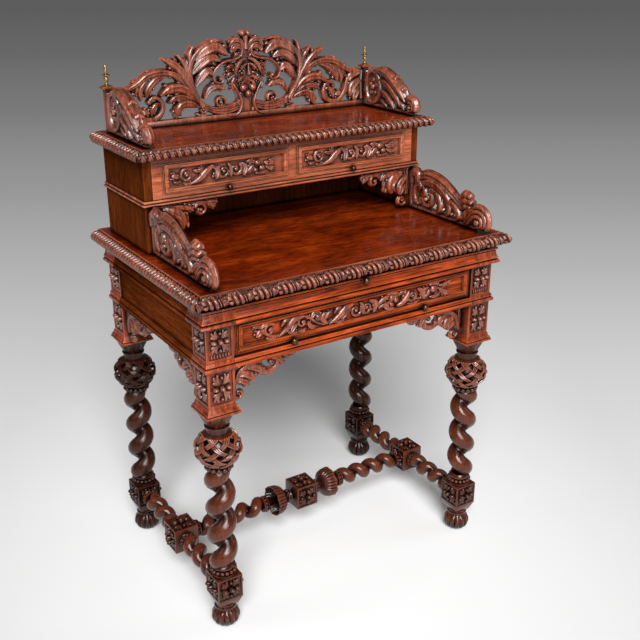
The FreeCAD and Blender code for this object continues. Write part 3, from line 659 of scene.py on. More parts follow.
def carved_leg():
    """Left-hand leg on the Z axis, from foot to leaf cup."""
    foot = turned("foot", [(14, 0), (20, 2), (25, 8), (28, 16), (28.5, 22), (27.5, 29), (24, 36), (20, 41),
                           (19.5, 43), (23, 44.5), (23.5, 48), (21, 50), (22, 55)], 96)
    fluted(foot, 13, 0.2, 0, 42)
    parts = [foot, panelled_block("block", 75, 130, 22)]
    parts.append(turned("collar", [(22, 128), (27.5, 130.5), (28, 133), (25, 135), (22, 136), (21.5, 147),
                                   (24.5, 148), (25, 151), (22, 153), (20, 157)]))
    parts.append(bead_ring("beads", 24, 141, 4.8, 16))
    parts += block_panels(22, 103)
    parts.append(barley_twist("shaft", 152, 226, 20.5, 11.4, 66, 120))
    parts.append(turned("ring", [(20, 372), (23, 377), (24, 380), (22, 383), (21.5, 396), (26, 397.5),
                                 (27, 400), (24, 403)]))
    parts.append(bead_ring("ring_beads", 24.5, 389.5, 6.0, 14))
    parts.append(turned("core", [(18, 400), (27, 407), (35, 418), (38, 431), (35, 444), (27, 455),
                                 (18, 461)]))
    parts.append(turned("neck", [(19, 458), (29, 460), (29.5, 463), (26, 465.5), (22, 468), (22, 477),
                                 (25, 479), (25.5, 482), (23, 484)]))
    cup = turned("cup", [(20, 482), (23, 486), (26, 494), (30, 502), (33, 508), (34, 513)], 96)
    parts.append(fluted(cup, 9, 0.16, 482, 514))
    return joined("leg_master", parts)


leg = carved_leg()
bulb = lattice_bulb("bulb_master", 400, 463, 50)
for row in ("front", "back"):
    for side in ("left", "right"):
        node = f"leg_{row}_{side}"
        centre = middle_of(node)
        place = moved(centre.x, centre.y)
        if side == "right":
            place = place @ MIRROR_X
        # The back row gets the darker copy of the oak: painted shade.
        finish, weave = (turned_oak, bulb_oak) if row == "front" else (back_leg_oak_in_shade, back_leg_oak_in_shade)
        fit(copied(leg, f"carved_{node}", place), finish, node)
        fit(copied(bulb, f"lattice_bulb_{row}_{side}", place), weave)
discard(leg, bulb)


# Stretchers, modelled upright and laid down

COLLAR = [(15, 0), (19, 1), (19.5, 3), (17, 4.5), (16.5, 10), (19, 11), (19, 13.5), (15, 15)]
TULIP = [(13, -6), (15.5, -3), (13.5, 0), (12, 8), (15, 12), (23, 16), (30, 22), (34, 31), (34.5, 39),
         (36.5, 46), (34, 45.5), (31, 38), (26, 28), (15, 22), (9, 24), (9, 46), (13, 58), (13.5, 64)]


def bar_collar(name, start, up=1):
    ring = turned(name, [(r, start + up * h) for r, h in COLLAR], 24)
    return [ring, bead_ring(name + "_beads", 17.2, start + up * 7.2, 3.3, 13)]


def stretcher_half(start, end, turn):
    """Collar, twist and collar between two heights."""
    parts = bar_collar("near_collar", start) + bar_collar("far_collar", end, -1)
    parts.append(barley_twist("bar", start + 12, end - start - 24, 14.5, 8.3, 43, turn, 4))
    return parts


def tulip(start):
    """Open leaf cup with a wavy rim, whose hollow mouth faces away from the middle block."""
    cup = turned("tulip", [(r, start + h) for r, h in TULIP], 160)
    fluted(cup, 26, 0.1, start + 12, start + 50)
    for vertex in cup.data.vertices:
        x, y, z = vertex.co / MM
        if math.hypot(x, y) > 28 and z > start + 34:
            vertex.co.z += 1.1 * MM * math.cos(9 * math.atan2(y, x))
    return [cup, bead_ring("tulip_beads", 13.5, start + 4, 4.0, 11)]


def carved_bar(name, half_parts, axis):
    """Bar with a carved block in its middle and the same parts on both sides of it, laid down."""
    upper = joined(name + "_half", half_parts)
    lower = copied(upper, name + "_other_half", MIRROR_Z)
    block = panelled_block(name + "_block", -BLOCK_HALF, BLOCK_HALF, 0)
    bar = joined(name, [block] + block_panels(BLOCK_HALF - 6, 0) + [upper, lower])
    bar.data.transform(Matrix.Rotation(math.radians(90), 4, axis))
    return bar


side_bar = carved_bar("side_bar", stretcher_half(29, 182.5, 20), "X")
for side in ("left", "right"):
    node = "stretcher_" + side
    place = moved(*middle_of(node))
    if side == "right":
        place = place @ MIRROR_X
    fit(copied(side_bar, "carved_" + node, place), turned_oak, node)
discard(side_bar)

cross = carved_bar("carved_stretcher_cross", tulip(38) + stretcher_half(100, 296, 60), "Y")
cross.data.transform(moved(*middle_of("stretcher_cross")))
fit(cross, turned_oak, "stretcher_cross")


# Frieze posts and mouldings

POST_HALF = 29
POST_PANEL = POST_HALF - 3
CAP = [(30, 513), (36.4, 513.3), (37.2, 514.4), (37.2, 518.2), (34.2, 518.6), (34.2, 520.4),
       (35.8, 520.8), (34.8, 523), (32.6, 525.6), (31.2, 529), (30.8, 532.2), (29.4, 532.8)]
RAIL = [(35.3, 611.6), (36, 613.4), (36, 617.4), (34.6, 619.2), (31.2, 619.8), (31.2, 621.6),
        (33.4, 622), (32, 625.4), (31, 629)]
CORNICE = [(38.6, 701), (41.2, 702.6), (42, 705.4), (41.2, 708.4), (38.6, 710), (35.4, 710.3),
           (35.4, 712.2), (39.6, 712.6), (39.6, 714.4), (37.2, 717.4), (35.6, 721), (35, 726),
           (35, 729.6), (32.6, 730), (32.6, 732), (37.4, 732.4), (37.4, 736.6), (26, 737.2), (26, 743.4)]
LOWER_DIE, UPPER_DIE = (534.5, 611), (629.4, 700.6)
CRISP = 30


def frieze_post(name, front):
    """Left-hand post on the Z axis, with sunk panels and with mouldings on its open sides."""
    dies = [[(POST_HALF, z) for z in die] for die in (LOWER_DIE, UPPER_DIE)]
    piece = turned(name, CAP + dies[0] + RAIL + dies[1] + CORNICE, 4)
    corners_out = Matrix.Diagonal((2**0.5, 2**0.5, 1, 1))
    piece.data.transform(Matrix.Rotation(math.radians(45), 4, "Z") @ corners_out)
    half = POST_HALF * MM
    for v in piece.data.vertices:
        if v.co.z > LOWER_DIE[0] * MM:
            v.co.x = min(v.co.x, half)
            v.co.y = min(v.co.y, half)
            if not front:
                v.co.y = max(v.co.y, -half)
    pick_up(piece)
    bpy.ops.object.mode_set(mode="EDIT")
    bpy.ops.mesh.select_all(action="SELECT")
    bpy.ops.mesh.remove_doubles(threshold=TINY)
    bpy.ops.mesh.dissolve_degenerate(threshold=TINY)
    bpy.ops.mesh.select_mode(type="FACE")
    choose_faces(piece, lambda f: f.area > 0.003 and (f.normal.x < -0.9 or (front and f.normal.y < -0.9)))
    sink(4.4, 1.4, 3.2)
    bpy.ops.object.mode_set(mode="OBJECT")
    soften(piece, 0.8)
    return outward(piece)


for row in ("front", "back"):
    x, y, _ = middle_of(f"leg_{row}_left")
    left_post = frieze_post(f"moulded_post_{row}_left", row == "front")
    left_post.data.transform(moved(x, y))
    right_post = copied(left_post, f"moulded_post_{row}_right", MIRROR_X)
    for side, piece in (("left", left_post), ("right", right_post)):
        fit(piece, post_oak, f"post_{row}_{side}", sharp=CRISP)
    panels = []
    for (low, high), strip in ((LOWER_DIE, 0), (UPPER_DIE, 9)):
        level = (low + high) / 2
        made = ornament(1.4, 21.5, (high - low) / 2 - PANEL_EDGE, strip)
        panels.append(made.piece("side_panel", (x - POST_PANEL, y, level), *FACING_LEFT))
        if row == "front":
            panels.append(made.piece("front_panel", (x, y - POST_PANEL, level), *FACING_FRONT))
    left_panels = joined(f"post_panels_{row}_left", panels)
    right_panels = copied(left_panels, f"post_panels_{row}_right", MIRROR_X)
    for piece in (left_panels, right_panels):
        fit(piece, carved_oak)


def moulding_run(name, outline, start, along, out, up, length, leans=(0, 0)):
    """Straight run of a moulding. The outline is (out, up) pairs in mm, and its ends may be mitred."""
    start, along, out, up = (Vector(v) for v in (start, along, out, up))
    points = []
    for travel, lean in ((0, -leans[0]), (length, leans[1])):
        points += [(start + along * (travel + lean * o) + out * o + up * u) * MM for o, u in outline]
    made = built(name, points, tube_faces(2, len(outline)))
    soften(made, 0.5)
    return made


leg_x, leg_y, _ = middle_of("leg_front_left")


def side_run(name, node, outline, hand=1):
    """Moulding from front to back, on the left or, with the hand turned, on the right."""
    low, high = box_mm(node)
    return moulding_run(name, outline, (hand * leg_x, low.y, 0), TO_BACK, (-hand, 0, 0), UP, high.y - low.y)


def front_run(name, node, outline):
    """Moulding along the front."""
    low, high = box_mm(node)
    return moulding_run(name, outline, (low.x, leg_y, 0), TO_RIGHT, TO_FRONT, UP, high.x - low.x)


left = side_run("cornice", "side_cornices", CORNICE + [(22, 743.4), (22, 701)])
fit(both("moulded_side_cornices", left), side_oak, "side_cornices", sharp=CRISP)

for side, hand in (("left", 1), ("right", -1)):
    node = "apron_" + side
    outline = [(3, 611)] + RAIL + [(25, 629.4), (25, 744), (3, 744)]
    fit(side_run("moulded_" + node, node, outline, hand), side_oak, node, sharp=CRISP)

front = front_run("moulded_front_rail", "front_rail", [(13, 611)] + RAIL + [(13, 629)])
fit(front, rail_oak, "front_rail", sharp=CRISP)

front = front_run("moulded_slide_front", "slide_front", CORNICE + [(21, 743.4), (21, 701)])
fit(front, rail_oak, "slide_front", body="writing_slide", sharp=CRISP)

CASE_BEAD = [(-2, 868), (3, 868.2), (5.4, 869.4), (6.2, 871.4), (5.4, 873.2), (1.4, 873.8), (1.4, 875.4),
             (3.6, 875.8), (3.6, 878), (2, 880), (-2, 880)]
low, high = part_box("case_side_left")
wide, deep = -2 * low.x / MM, (high.y - low.y) / MM
corner = (low.x / MM, low.y / MM, 0)
beads = [moulding_run("bead", CASE_BEAD, corner, TO_RIGHT, TO_FRONT, UP, wide, (1, 1))]
beads.append(moulding_run("bead", CASE_BEAD, corner, TO_BACK, TO_LEFT, UP, deep, (1, 0)))
beads.append(copied(beads[1], "bead", MIRROR_X))
fit(joined("moulded_case_bead", beads), case_oak, "case_moulding", sharp=CRISP)

FRAME_BEAD = [(-1.2, -0.5), (-1.2, 1.6), (0.4, 1.9), (0.6, 4.4), (2.4, 5.8), (4.6, 5.8), (6, 4.6),
              (6.4, 4.15), (9.3, 4.15), (9.3, 0.8), (10.4, 0.8), (10.4, 2.2), (12, 2.2), (12, -0.5)]
FRAME_SIDE, FRAME_RISE, FRAME_SUNK = 15, 9, 4


def drawer_frame(name, node, body, under, over, finish):
    """Moulded frame over the raised edge of a drawer's panel."""
    low, high = box_mm(node)
    x0, x1 = low.x + FRAME_SIDE, high.x - FRAME_SIDE
    z0, z1 = low.z + under + FRAME_RISE, high.z - over - FRAME_RISE
    face = low.y + FRAME_SUNK
    runs = []
    for x, z, along, out, length in ((x0, z0, TO_RIGHT, DOWN, x1 - x0), (x0, z1, TO_RIGHT, UP, x1 - x0),
                                     (x0, z0, UP, TO_LEFT, z1 - z0), (x1, z0, UP, TO_RIGHT, z1 - z0)):
        runs.append(moulding_run("run", FRAME_BEAD, (x, face, z), along, out, TO_FRONT, length, (1, 1)))
    fit(joined(name, runs), finish, body=body, sharp=CRISP)


drawer_frame("frieze_panel_frame", "frieze_drawer_front", "frieze_drawer", 10, 8, rail_oak)
for side in ("left", "right"):
    drawer_frame(f"{side}_panel_frame", f"{side}_drawer_front", f"{side}_drawer", 13, 14, case_oak)


# Carved edging of the two tops

EDGING_STEP = 0.8


def nulled_edging(name, node, width, pattern, side_pattern):
    """Rounded edging with a carved repeat, mitred at the front corners."""
    low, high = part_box(node)
    half, front, back = high.x / MM, low.y / MM, high.y / MM
    base, top = low.z / MM, high.z / MM
    tall = top - base
    arc = np.linspace(0, 1, 21)
    lean = np.radians(-83 + 173 * arc)
    inwards = 0.76 * width - 0.61 * width * np.cos(lean)
    height = tall * (0.44 + 0.42 * np.sin(lean))
    inwards = np.concatenate([[width], inwards, [0.81 * width, 0.87 * width, width]])
    height = np.concatenate([[0.0], height, [0.74 * tall, 0.99 * tall, tall]])
    worked = np.concatenate([[0.0], np.clip(10 * arc, 0.1, 1), [0.0, 0.0, 0.0]])
    across = np.concatenate([[0.0], arc, [1.0, 1.0, 1.0]])
    lean = np.concatenate([[-1.45], lean, [1.57, 1.57, 1.57]])
    pieces = []
    for hand, length in ((0, 2 * half), (1, back - front), (-1, back - front)):
        share = np.linspace(0, 1, int(length / EDGING_STEP))
        end = np.full_like(inwards, length) if hand else length - inwards
        s = inwards[None, :] + (end - inwards)[None, :] * share[:, None]
        carved = side_pattern if hand else pattern
        rise = carved(s, across[None, :]) * worked[None, :]
        outwards = inwards[None, :] - rise * np.cos(lean)[None, :]
        level = np.clip(height[None, :] + rise * np.sin(lean)[None, :], 0.0, tall)
        x, y = (hand * (outwards - half), front + s) if hand else (s - half, front + outwards)
        points = np.stack([x, y, base + level], axis=2)
        faces = tube_faces(*points.shape[:2])
        pieces.append(built(name, (points.reshape(-1, 3) * MM).tolist(), faces))
    return joined(name, pieces)


def rib(where, middle, half):
    """Rounded rib between sharp cuts."""
    return np.sqrt(np.clip(1 - ((where - middle) / half) ** 2, 0, 1))


def ridge_and_lobes(s, across):
    """Repeat of the tabletop, all slanting: a bold rib, a thin one, a split lobe, two berries, a rib."""
    phase = ((s + 11.0 * across + 6.0) / 52.2) % 1.0
    bold = rib(phase, 0.1, 0.095)
    thin = rib(phase, 0.25, 0.045)
    lobes = rib(phase, 0.4, 0.085) * (1 - 0.4 * rib(phase, 0.4, 0.03))
    berries = rib(phase, 0.66, 0.1) * (rib(across, 0.3, 0.2) + rib(across, 0.72, 0.2))
    ribs = rib(phase, 0.885, 0.09)
    return 6.8 * bold + 4.4 * thin + 5.4 * lobes + 5.6 * berries + 5.8 * ribs - 3.4


def close_ribs(s, across):
    """Repeat of the tabletop's ends: plain slanting ribs, one beside the other."""
    return 6.2 * rib(((s + 7.0 * across) / 13.05) % 1.0, 0.5, 0.44) - 3.4


def slanting_lobes(s, across):
    """Repeat of the upper top: slanting lobes, each with a bead in the cut beside it."""
    phase = ((s + 10.0 * across) / 15.5) % 1.0
    lobes = rib(phase, 0.36, 0.34) * (1 - 0.25 * rib(phase, 0.36, 0.08))
    return 5.8 * lobes + 3.6 * rib(phase, 0.84, 0.14) * rib(across, 0.62, 0.2) - 2.8


edging = nulled_edging("carved_tabletop_edging", "tabletop_edging", 24, ridge_and_lobes, close_ribs)
fit(edging, edging_oak, "tabletop_edging")
edging = nulled_edging("carved_upper_edging", "upper_edging", 22, slanting_lobes, slanting_lobes)
fit(edging, edging_oak, "upper_edging")


# Running scrolls on the drawer fronts

def frieze_scroll():
    """Running acanthus of the long drawer; along is to the right of the middle."""
    made = Carving(2.2)
    made.stroke([(-250, 8), (-232, 0), (-214, -11), (-196, -14), (-176, -2), (-156, 12), (-138, 14),
                 (-122, 6), (-106, -7), (-88, -13), (-68, -8), (-48, 5), (-28, 14)],
                (3, 4.5, 4.5, 4), -0.6)
    made.stroke([(20, 14), (36, 2), (52, -7), (72, -2), (92, 9), (112, 11), (130, 2), (150, -9), (170, -4),
                 (190, 7), (212, 2), (236, 10)], (3, 4.5, 4.5, 3), -0.6)
    for leaf in ([(-72, -9), (-58, -16), (-42, -14)], [(-190, 2), (-182, 13), (-170, 17)],
                 [(-94, -8), (-84, 4), (-74, 14)], [(-178, -8), (-166, -16), (-152, -16)],
                 [(-66, 2), (-60, 12), (-50, 17)], [(58, -8), (70, -16), (84, -16)],
                 [(152, -2), (164, 8), (176, 12)]):
        made.lobe(leaf, 5.5, 0.5)
    made.volute(-13, -1, 15, 1.1, 30, 4.5, -1)
    made.volute(14, 0, 15, 1.1, 150, 4.5)
    made.lobe([(-4, 15), (4, 4), (2, -12)], 5, 2)
    made.lobe([(22, 15), (36, 6), (30, -14)], 6, 1)
    made.stroke([(-22, 16), (-40, 11), (-58, -4), (-80, -16)], (5, 8, 9, 6, 2), 3, 0.3)
    made.lobe([(-24, 6), (-40, -2), (-52, -14)], 6, 0)
    made.lobe([(-84, -14), (-96, 0), (-92, 14)], 7, 1)
    made.berry(-104, 4, 9, 9, 7)
    made.lobe([(-98, 14), (-112, 16), (-124, 6)], 6)
    made.lobe([(-106, -14), (-122, -12), (-130, 2)], 6)
    made.volute(-141, 2, 14, 1.1, 20, 4.5, 1)
    made.lobe([(-132, -12), (-142, -17), (-152, -14)], 5)
    made.stroke([(-146, 16), (-164, 12), (-180, -4), (-198, -16)], (5, 8, 8, 5, 2), 3, 0.3)
    made.lobe([(-152, 4), (-164, -6), (-172, -15)], 6)
    made.volute(-216, 2, 14, 1.1, 40, 4.5, 1)
    made.lobe([(-200, -14), (-214, -17), (-226, -12)], 5)
    made.lobe([(-208, 16), (-224, 17), (-238, 10)], 5)
    made.lobe([(-226, 6), (-238, 2), (-247, -6)], 7)
    made.lobe([(-232, 12), (-242, 15), (-254, 16)], 5)
    made.lobe([(38, -4), (54, 8), (70, 14)], 7)
    made.lobe([(44, -10), (60, -4), (72, -12)], 5)
    made.berry(78, 7, 8, 8, 7)
    made.berry(90, 0, 7, 7, 6)
    made.berry(78, -8, 6, 6, 5)
    made.lobe([(66, 15), (84, 17), (98, 12)], 5)
    made.lobe([(90, -13), (104, -9), (116, 4), (120, 16)], 9, 2)
    made.lobe([(96, 12), (108, 15), (118, 17)], 5)
    made.volute(134, 1, 14, 1.1, 150, 4.5)
    made.lobe([(120, -15), (136, -17), (152, -13)], 5)
    made.lobe([(146, 15), (158, 6), (162, -12)], 7, 1)
    made.lobe([(160, -14), (172, -6), (178, 8)], 6)
    made.berry(190, 5, 10, 9, 8)
    made.lobe([(178, 15), (192, 17), (206, 12)], 5)
    made.lobe([(180, -12), (196, -13), (208, -6)], 6)
    made.lobe([(204, 4), (218, -8), (230, -15)], 7, 1)
    made.lobe([(206, 8), (222, 10), (238, 17)], 6)
    return made


def small_scroll():
    """Carving of a small drawer: bud, scroll and leaf, ring, leaf and berries."""
    made = Carving(2.2)
    made.lobe([(-114, -1), (-122, 3), (-132, 4)], 7)
    made.lobe([(-112, -8), (-120, -10), (-128, -8)], 4)
    made.volute(-98, 2, 14, 1.2, 100, 5, 1)
    made.lobe([(-108, -12), (-98, -17), (-86, -15)], 5)
    made.stroke([(-92, -16), (-72, -9), (-54, 6), (-38, 16)], (2, 6, 9, 8, 4), 3, 0.3)
    made.lobe([(-84, 10), (-72, 8), (-60, 14)], 6)
    made.lobe([(-40, 14), (-30, 4), (-34, -14)], 8, 1)
    made.volute(-14, 0, 16, 1.1, 130, 5, 1)
    made.volute(14, 1, 15, 1.1, 50, 5, -1)
    made.lobe([(-4, 16), (2, 4), (0, -14)], 5, 2)
    made.lobe([(28, 14), (36, 2), (30, -14)], 7, 1)
    made.lobe([(34, -12), (46, -6), (56, 6)], 8)
    made.lobe([(38, 13), (50, 13), (60, 8)], 6)
    made.berry(66, 8, 9, 8, 8)
    made.berry(76, -4, 8, 7, 7)
    made.berry(62, -8, 6, 6, 5)
    made.lobe([(60, -14), (74, -15), (86, -11)], 5)
    made.lobe([(82, 8), (92, 4), (106, 6)], 7)
    made.lobe([(86, -2), (98, -8), (110, -6)], 6)
    return made


FRIEZE_FACE, FRIEZE_MIDDLE = -230, 665.5
SMALL_FACE, SMALL_MIDDLE = 31.5, 921
place = (0, FRIEZE_FACE, FRIEZE_MIDDLE)
scroll = frieze_scroll().piece("frieze_drawer_scroll", place, *FACING_FRONT)
fit(scroll, rich_oak, body="frieze_drawer")
for side, x in (("left", -154), ("right", 166)):
    place = (x, SMALL_FACE, SMALL_MIDDLE)
    scroll = small_scroll().piece(f"{side}_drawer_scroll", place, *FACING_FRONT)
    fit(scroll, carved_oak, body=f"{side}_drawer")


# Knobs and finials

KNOB = [(0.62, 0), (0.66, 0.06), (0.45, 0.16), (0.4, 0.32), (0.62, 0.42), (0.94, 0.55), (1, 0.7),
        (0.88, 0.86), (0.5, 0.97), (0.1, 1)]
FINIAL_RADIUS = 8.5
FINIAL = [(6, 0), (6.2, 2.5), (4.4, 4), (3.2, 6), (3.6, 9), (5.2, 13), (4.8, 17), (3.2, 19.5), (5, 21),
          (FINIAL_RADIUS, 21.6), (FINIAL_RADIUS, 23), (5.2, 24), (3, 26), (2.8, 29), (3.8, 31), (3.2, 33),
          (2.7, 35), (3.6, 38), (3.2, 41), (1.6, 43), (0.5, 44)]


def knob(name, node, body, radius, length):
    """One knob in the middle of its node, or two at the ends of a wide one."""
    low, high = box_mm(node)
    places = [(low.x + high.x) / 2]
    if high.x - low.x > 4 * radius:
        places = [low.x + radius, high.x - radius]
    made = []
    for x in places:
        piece = turned(name, [(r * radius, h * length) for r, h in KNOB], 20)
        place = moved(x, high.y, (low.z + high.z) / 2)
        piece.data.transform(place @ Matrix.Rotation(math.radians(90), 4, "X"))
        made.append(piece)
    fit(joined(name, made), bronze, node, body=body, slot="bronze")


knob("turned_frieze_knobs", "frieze_drawer_knobs", "frieze_drawer", 7, 17)
knob("turned_slide_knob", "slide_knob", "writing_slide", 7, 17)
for side in ("left", "right"):
    knob(f"turned_{side}_knob", f"{side}_drawer_knob", f"{side}_drawer", 6, 14)

low, high = box_mm("finials")
finial = turned("finial", FINIAL, 20)
finial.data.transform(moved(low.x + FINIAL_RADIUS, (low.y + high.y) / 2, low.z))
fit(both("turned_finials", finial), brass, "finials", slot="brass")


# Pierced gallery with a leafy mask

def gallery_carving():
    """Left half with its mirror image; along is away from the middle, up is the height above the floor."""
    made = Carving(8.0)
    # shoulder leaf and the curl under it
    made.lobe([(160, 1086), (196, 1099), (236, 1096), (264, 1080), (296, 1066)], 10, 2)
    made.lobe([(196, 1094), (220, 1086), (240, 1068), (246, 1050)], 11, 1)
    made.lobe([(216, 1092), (240, 1084), (256, 1066), (258, 1044)], 9)
    made.lobe([(238, 1088), (258, 1076), (270, 1058)], 8)
    made.stroke([(290, 1070), (276, 1050), (270, 1026), (256, 1008), (236, 1002), (216, 1010), (208, 1028),
                 (214, 1044), (228, 1049), (240, 1042)], (6, 8, 8, 5), 2, 0.25)
    made.lobe([(264, 1014), (252, 1020), (240, 1018)], 8, 1)
    made.lobe([(210, 1030), (222, 1034), (232, 1024), (236, 1010)], 7, 1)
    made.berry(238, 1040, 7, 7, 8)
    made.lobe([(322, 1066), (306, 1066), (286, 1060), (276, 1048)], 12)
    made.lobe([(322, 1050), (304, 1044), (288, 1030), (282, 1010)], 13, 1)
    made.lobe([(322, 1028), (308, 1024), (298, 1010), (296, 998)], 12)
    made.stroke([(320, 1000), (318, 1040), (320, 1072)], (9, 9, 8))
    # fan of long lobes
    made.lobe([(118, 1026), (146, 1074), (172, 1110), (205, 1129)], 12, 3)
    made.lobe([(126, 1046), (146, 1090), (154, 1116), (170, 1135)], 9, 2)
    made.lobe([(124, 1036), (158, 1078), (182, 1096), (204, 1097)], 10, 1)
    made.lobe([(122, 1030), (156, 1060), (190, 1064), (214, 1052)], 13, 3)
    made.lobe([(124, 1026), (154, 1042), (178, 1044), (196, 1034)], 10, 1)
    made.lobe([(122, 1022), (150, 1030), (170, 1024), (180, 1000)], 11, 3)
    # great leaf bending over towards the mask
    made.stroke([(110, 1018), (134, 1056), (142, 1096), (132, 1124), (106, 1148), (76, 1159), (52, 1157)],
                (7, 9, 9, 8, 7, 5, 2), 4, 0.3)
    made.lobe([(128, 1120), (104, 1138), (76, 1146), (46, 1128)], 14, 3)
    made.lobe([(138, 1092), (112, 1116), (90, 1126), (66, 1118)], 15, 2)
    made.lobe([(132, 1064), (112, 1088), (98, 1098), (84, 1086)], 13, 3)
    made.lobe([(108, 1036), (94, 1056), (74, 1062), (54, 1054)], 9, 2)
    made.stroke([(140, 1112), (138, 1134), (130, 1152)], (6, 8, 3), 3)
    made.lobe([(144, 1096), (148, 1110), (146, 1124)], 6, 1)
    # scrolls beside the mask
    made.stroke([(40, 1136), (36, 1147), (22, 1150), (12, 1140), (15, 1124), (34, 1117), (56, 1114),
                 (76, 1102), (86, 1086), (80, 1072), (66, 1069), (60, 1077)], (3.5, 4.5, 4.5, 3.5), 6)
    made.berry(39, 1135, 5.5, 5.5, 12, 2)
    made.berry(66, 1077, 6.5, 6.5, 12, 2)
    made.stroke([(36, 1064), (24, 1044), (16, 1022), (24, 1000), (42, 993), (60, 1000)], (4.5, 5.5, 5, 3), 6)
    made.volute(68, 1026, 14, 1.1, 200, 4.5, -1, 2)
    made.lobe([(36, 1010), (58, 1014), (78, 1020)], 6, 0)
    made.stroke([(14, 1014), (44, 1005), (78, 1006), (112, 1018)], (6, 8, 5), 2, 0.5)
    made.stroke([(14, 1024), (44, 1014), (78, 1012), (108, 1022)], (5, 6, 4), 1, 0.5)
    made.volute(112, 1014, 13, 0.9, 60, 5, 1, 2, 0.25)
    made.lobe([(128, 1006), (118, 1000), (104, 1000)], 7, 1)
    # crest and plume
    made.berry(7, 1171, 8, 8, 12)
    made.lobe([(3, 1136), (14, 1154), (30, 1157), (44, 1144)], 8, 3)
    made.lobe([(3, 1126), (16, 1142), (30, 1142), (38, 1130)], 8, 3)
    made.lobe([(3, 1108), (12, 1124), (24, 1128), (32, 1120)], 7, 2)
    leafy_mask(made)
    made.mirrored_half()
    # middle of the crest and of the mask: stem, shield, boss, nose and fruit
    made.stroke([(0, 1136), (0, 1152), (0, 1168)], (9, 8, 9), 1)
    made.stroke([(0, 996), (0, 1040), (0, 1090), (0, 1140)], (26, 22, 44, 40, 20), 0, 0.0, 0.1)
    made.berry(0, 1084, 25, 31, 10, 3)
    made.stroke([(0, 1108), (0, 1096), (0, 1082)], (4, 5, 8), 12)
    made.berry(0, 1041, 9, 10, 13, 6)
    return made


def leafy_mask(made):
    """Half of a grotesque mask of leaves and fruit, without its middle."""
    made.stroke([(14, 998), (20, 1020), (14, 1044)], (7, 6, 5), 1, 0.3)
    made.lobe([(2, 1118), (14, 1114), (26, 1102), (33, 1086)], 7, 9)
    made.lobe([(2, 1108), (11, 1103), (20, 1094)], 5, 13)
    made.berry(14, 1087, 6, 5, 7, 9)
    made.lobe([(3, 1078), (14, 1078), (27, 1068)], 6, 9)
    made.lobe([(2, 1071), (12, 1067), (19, 1057)], 5, 8)
    made.berry(12, 1054, 10, 10, 13, 6)
    made.lobe([(26, 1082), (36, 1066), (34, 1048)], 7, 2)
    made.lobe([(24, 1096), (38, 1102), (52, 1100)], 8, 1)
    made.lobe([(26, 1086), (40, 1086), (52, 1080)], 7, 0)


RAIL_DEEP, RAIL_TALL = 16, 14
low, high = box_mm("gallery_back")
gallery = gallery_carving().piece("carved_gallery", (0, high.y, 0), *FACING_FRONT)
put_down()
rail_centre = Vector((0, high.y - RAIL_DEEP / 2, low.z + RAIL_TALL / 2))
bpy.ops.mesh.primitive_cube_add(size=1, location=rail_centre * MM)
foot_rail = bpy.context.object
foot_rail.scale = Vector((high.x - low.x, RAIL_DEEP, RAIL_TALL)) * MM
set_in_place()
soften(foot_rail, 2.5)
fit(joined("carved_gallery", [gallery, foot_rail]), carved_oak, "gallery_back")


# Wings, consoles and brackets, carved on both faces

def wing_carving():
    """Wing of the gallery: along is towards the front, up is above the upper top."""
    made = Carving(3.5, True)
    made.stroke([(0, 6), (100, 6), (190, 5)], (6, 6, 5))
    made.stroke([(4, 4), (3, 44), (6, 84)], (5, 6, 5))
    # ring with a flower in it
    angles = np.linspace(0.5, 2 * math.pi + 0.5, 17)
    ring = [(36 + 28 * math.cos(a), 48 + 38 * math.sin(a)) for a in angles]
    made.stroke(ring, (6, 6.5, 6.5, 6), 2, 0.3)
    made.stroke([(36, 14), (36, 48), (36, 82)], (20, 24, 20), -2.2, 0.0, 0.05)
    made.berry(36, 48, 7, 8, 8)
    for turn in range(5):
        a = math.radians(90 + 72 * turn)
        made.berry(36 + 12 * math.cos(a), 48 + 17 * math.sin(a), 6, 7, 5)
    # leaf sloping down to a rolled end
    made.lobe([(46, 88), (88, 84), (132, 60), (170, 30)], 12, 3)
    made.lobe([(64, 66), (96, 60), (128, 40), (152, 18)], 13, 1)
    made.lobe([(66, 42), (92, 36), (114, 22), (128, 8)], 11, 2)
    made.lobe([(66, 22), (80, 16), (98, 8)], 9)
    made.lobe([(132, 34), (152, 24), (166, 10)], 9, 2)
    made.stroke([(156, 22), (172, 37), (190, 37), (201, 24), (199, 10)], (5, 7, 7, 6), 2)
    made.volute(184, 18, 13, 1.1, 120, 6, -1, 3)
    return made


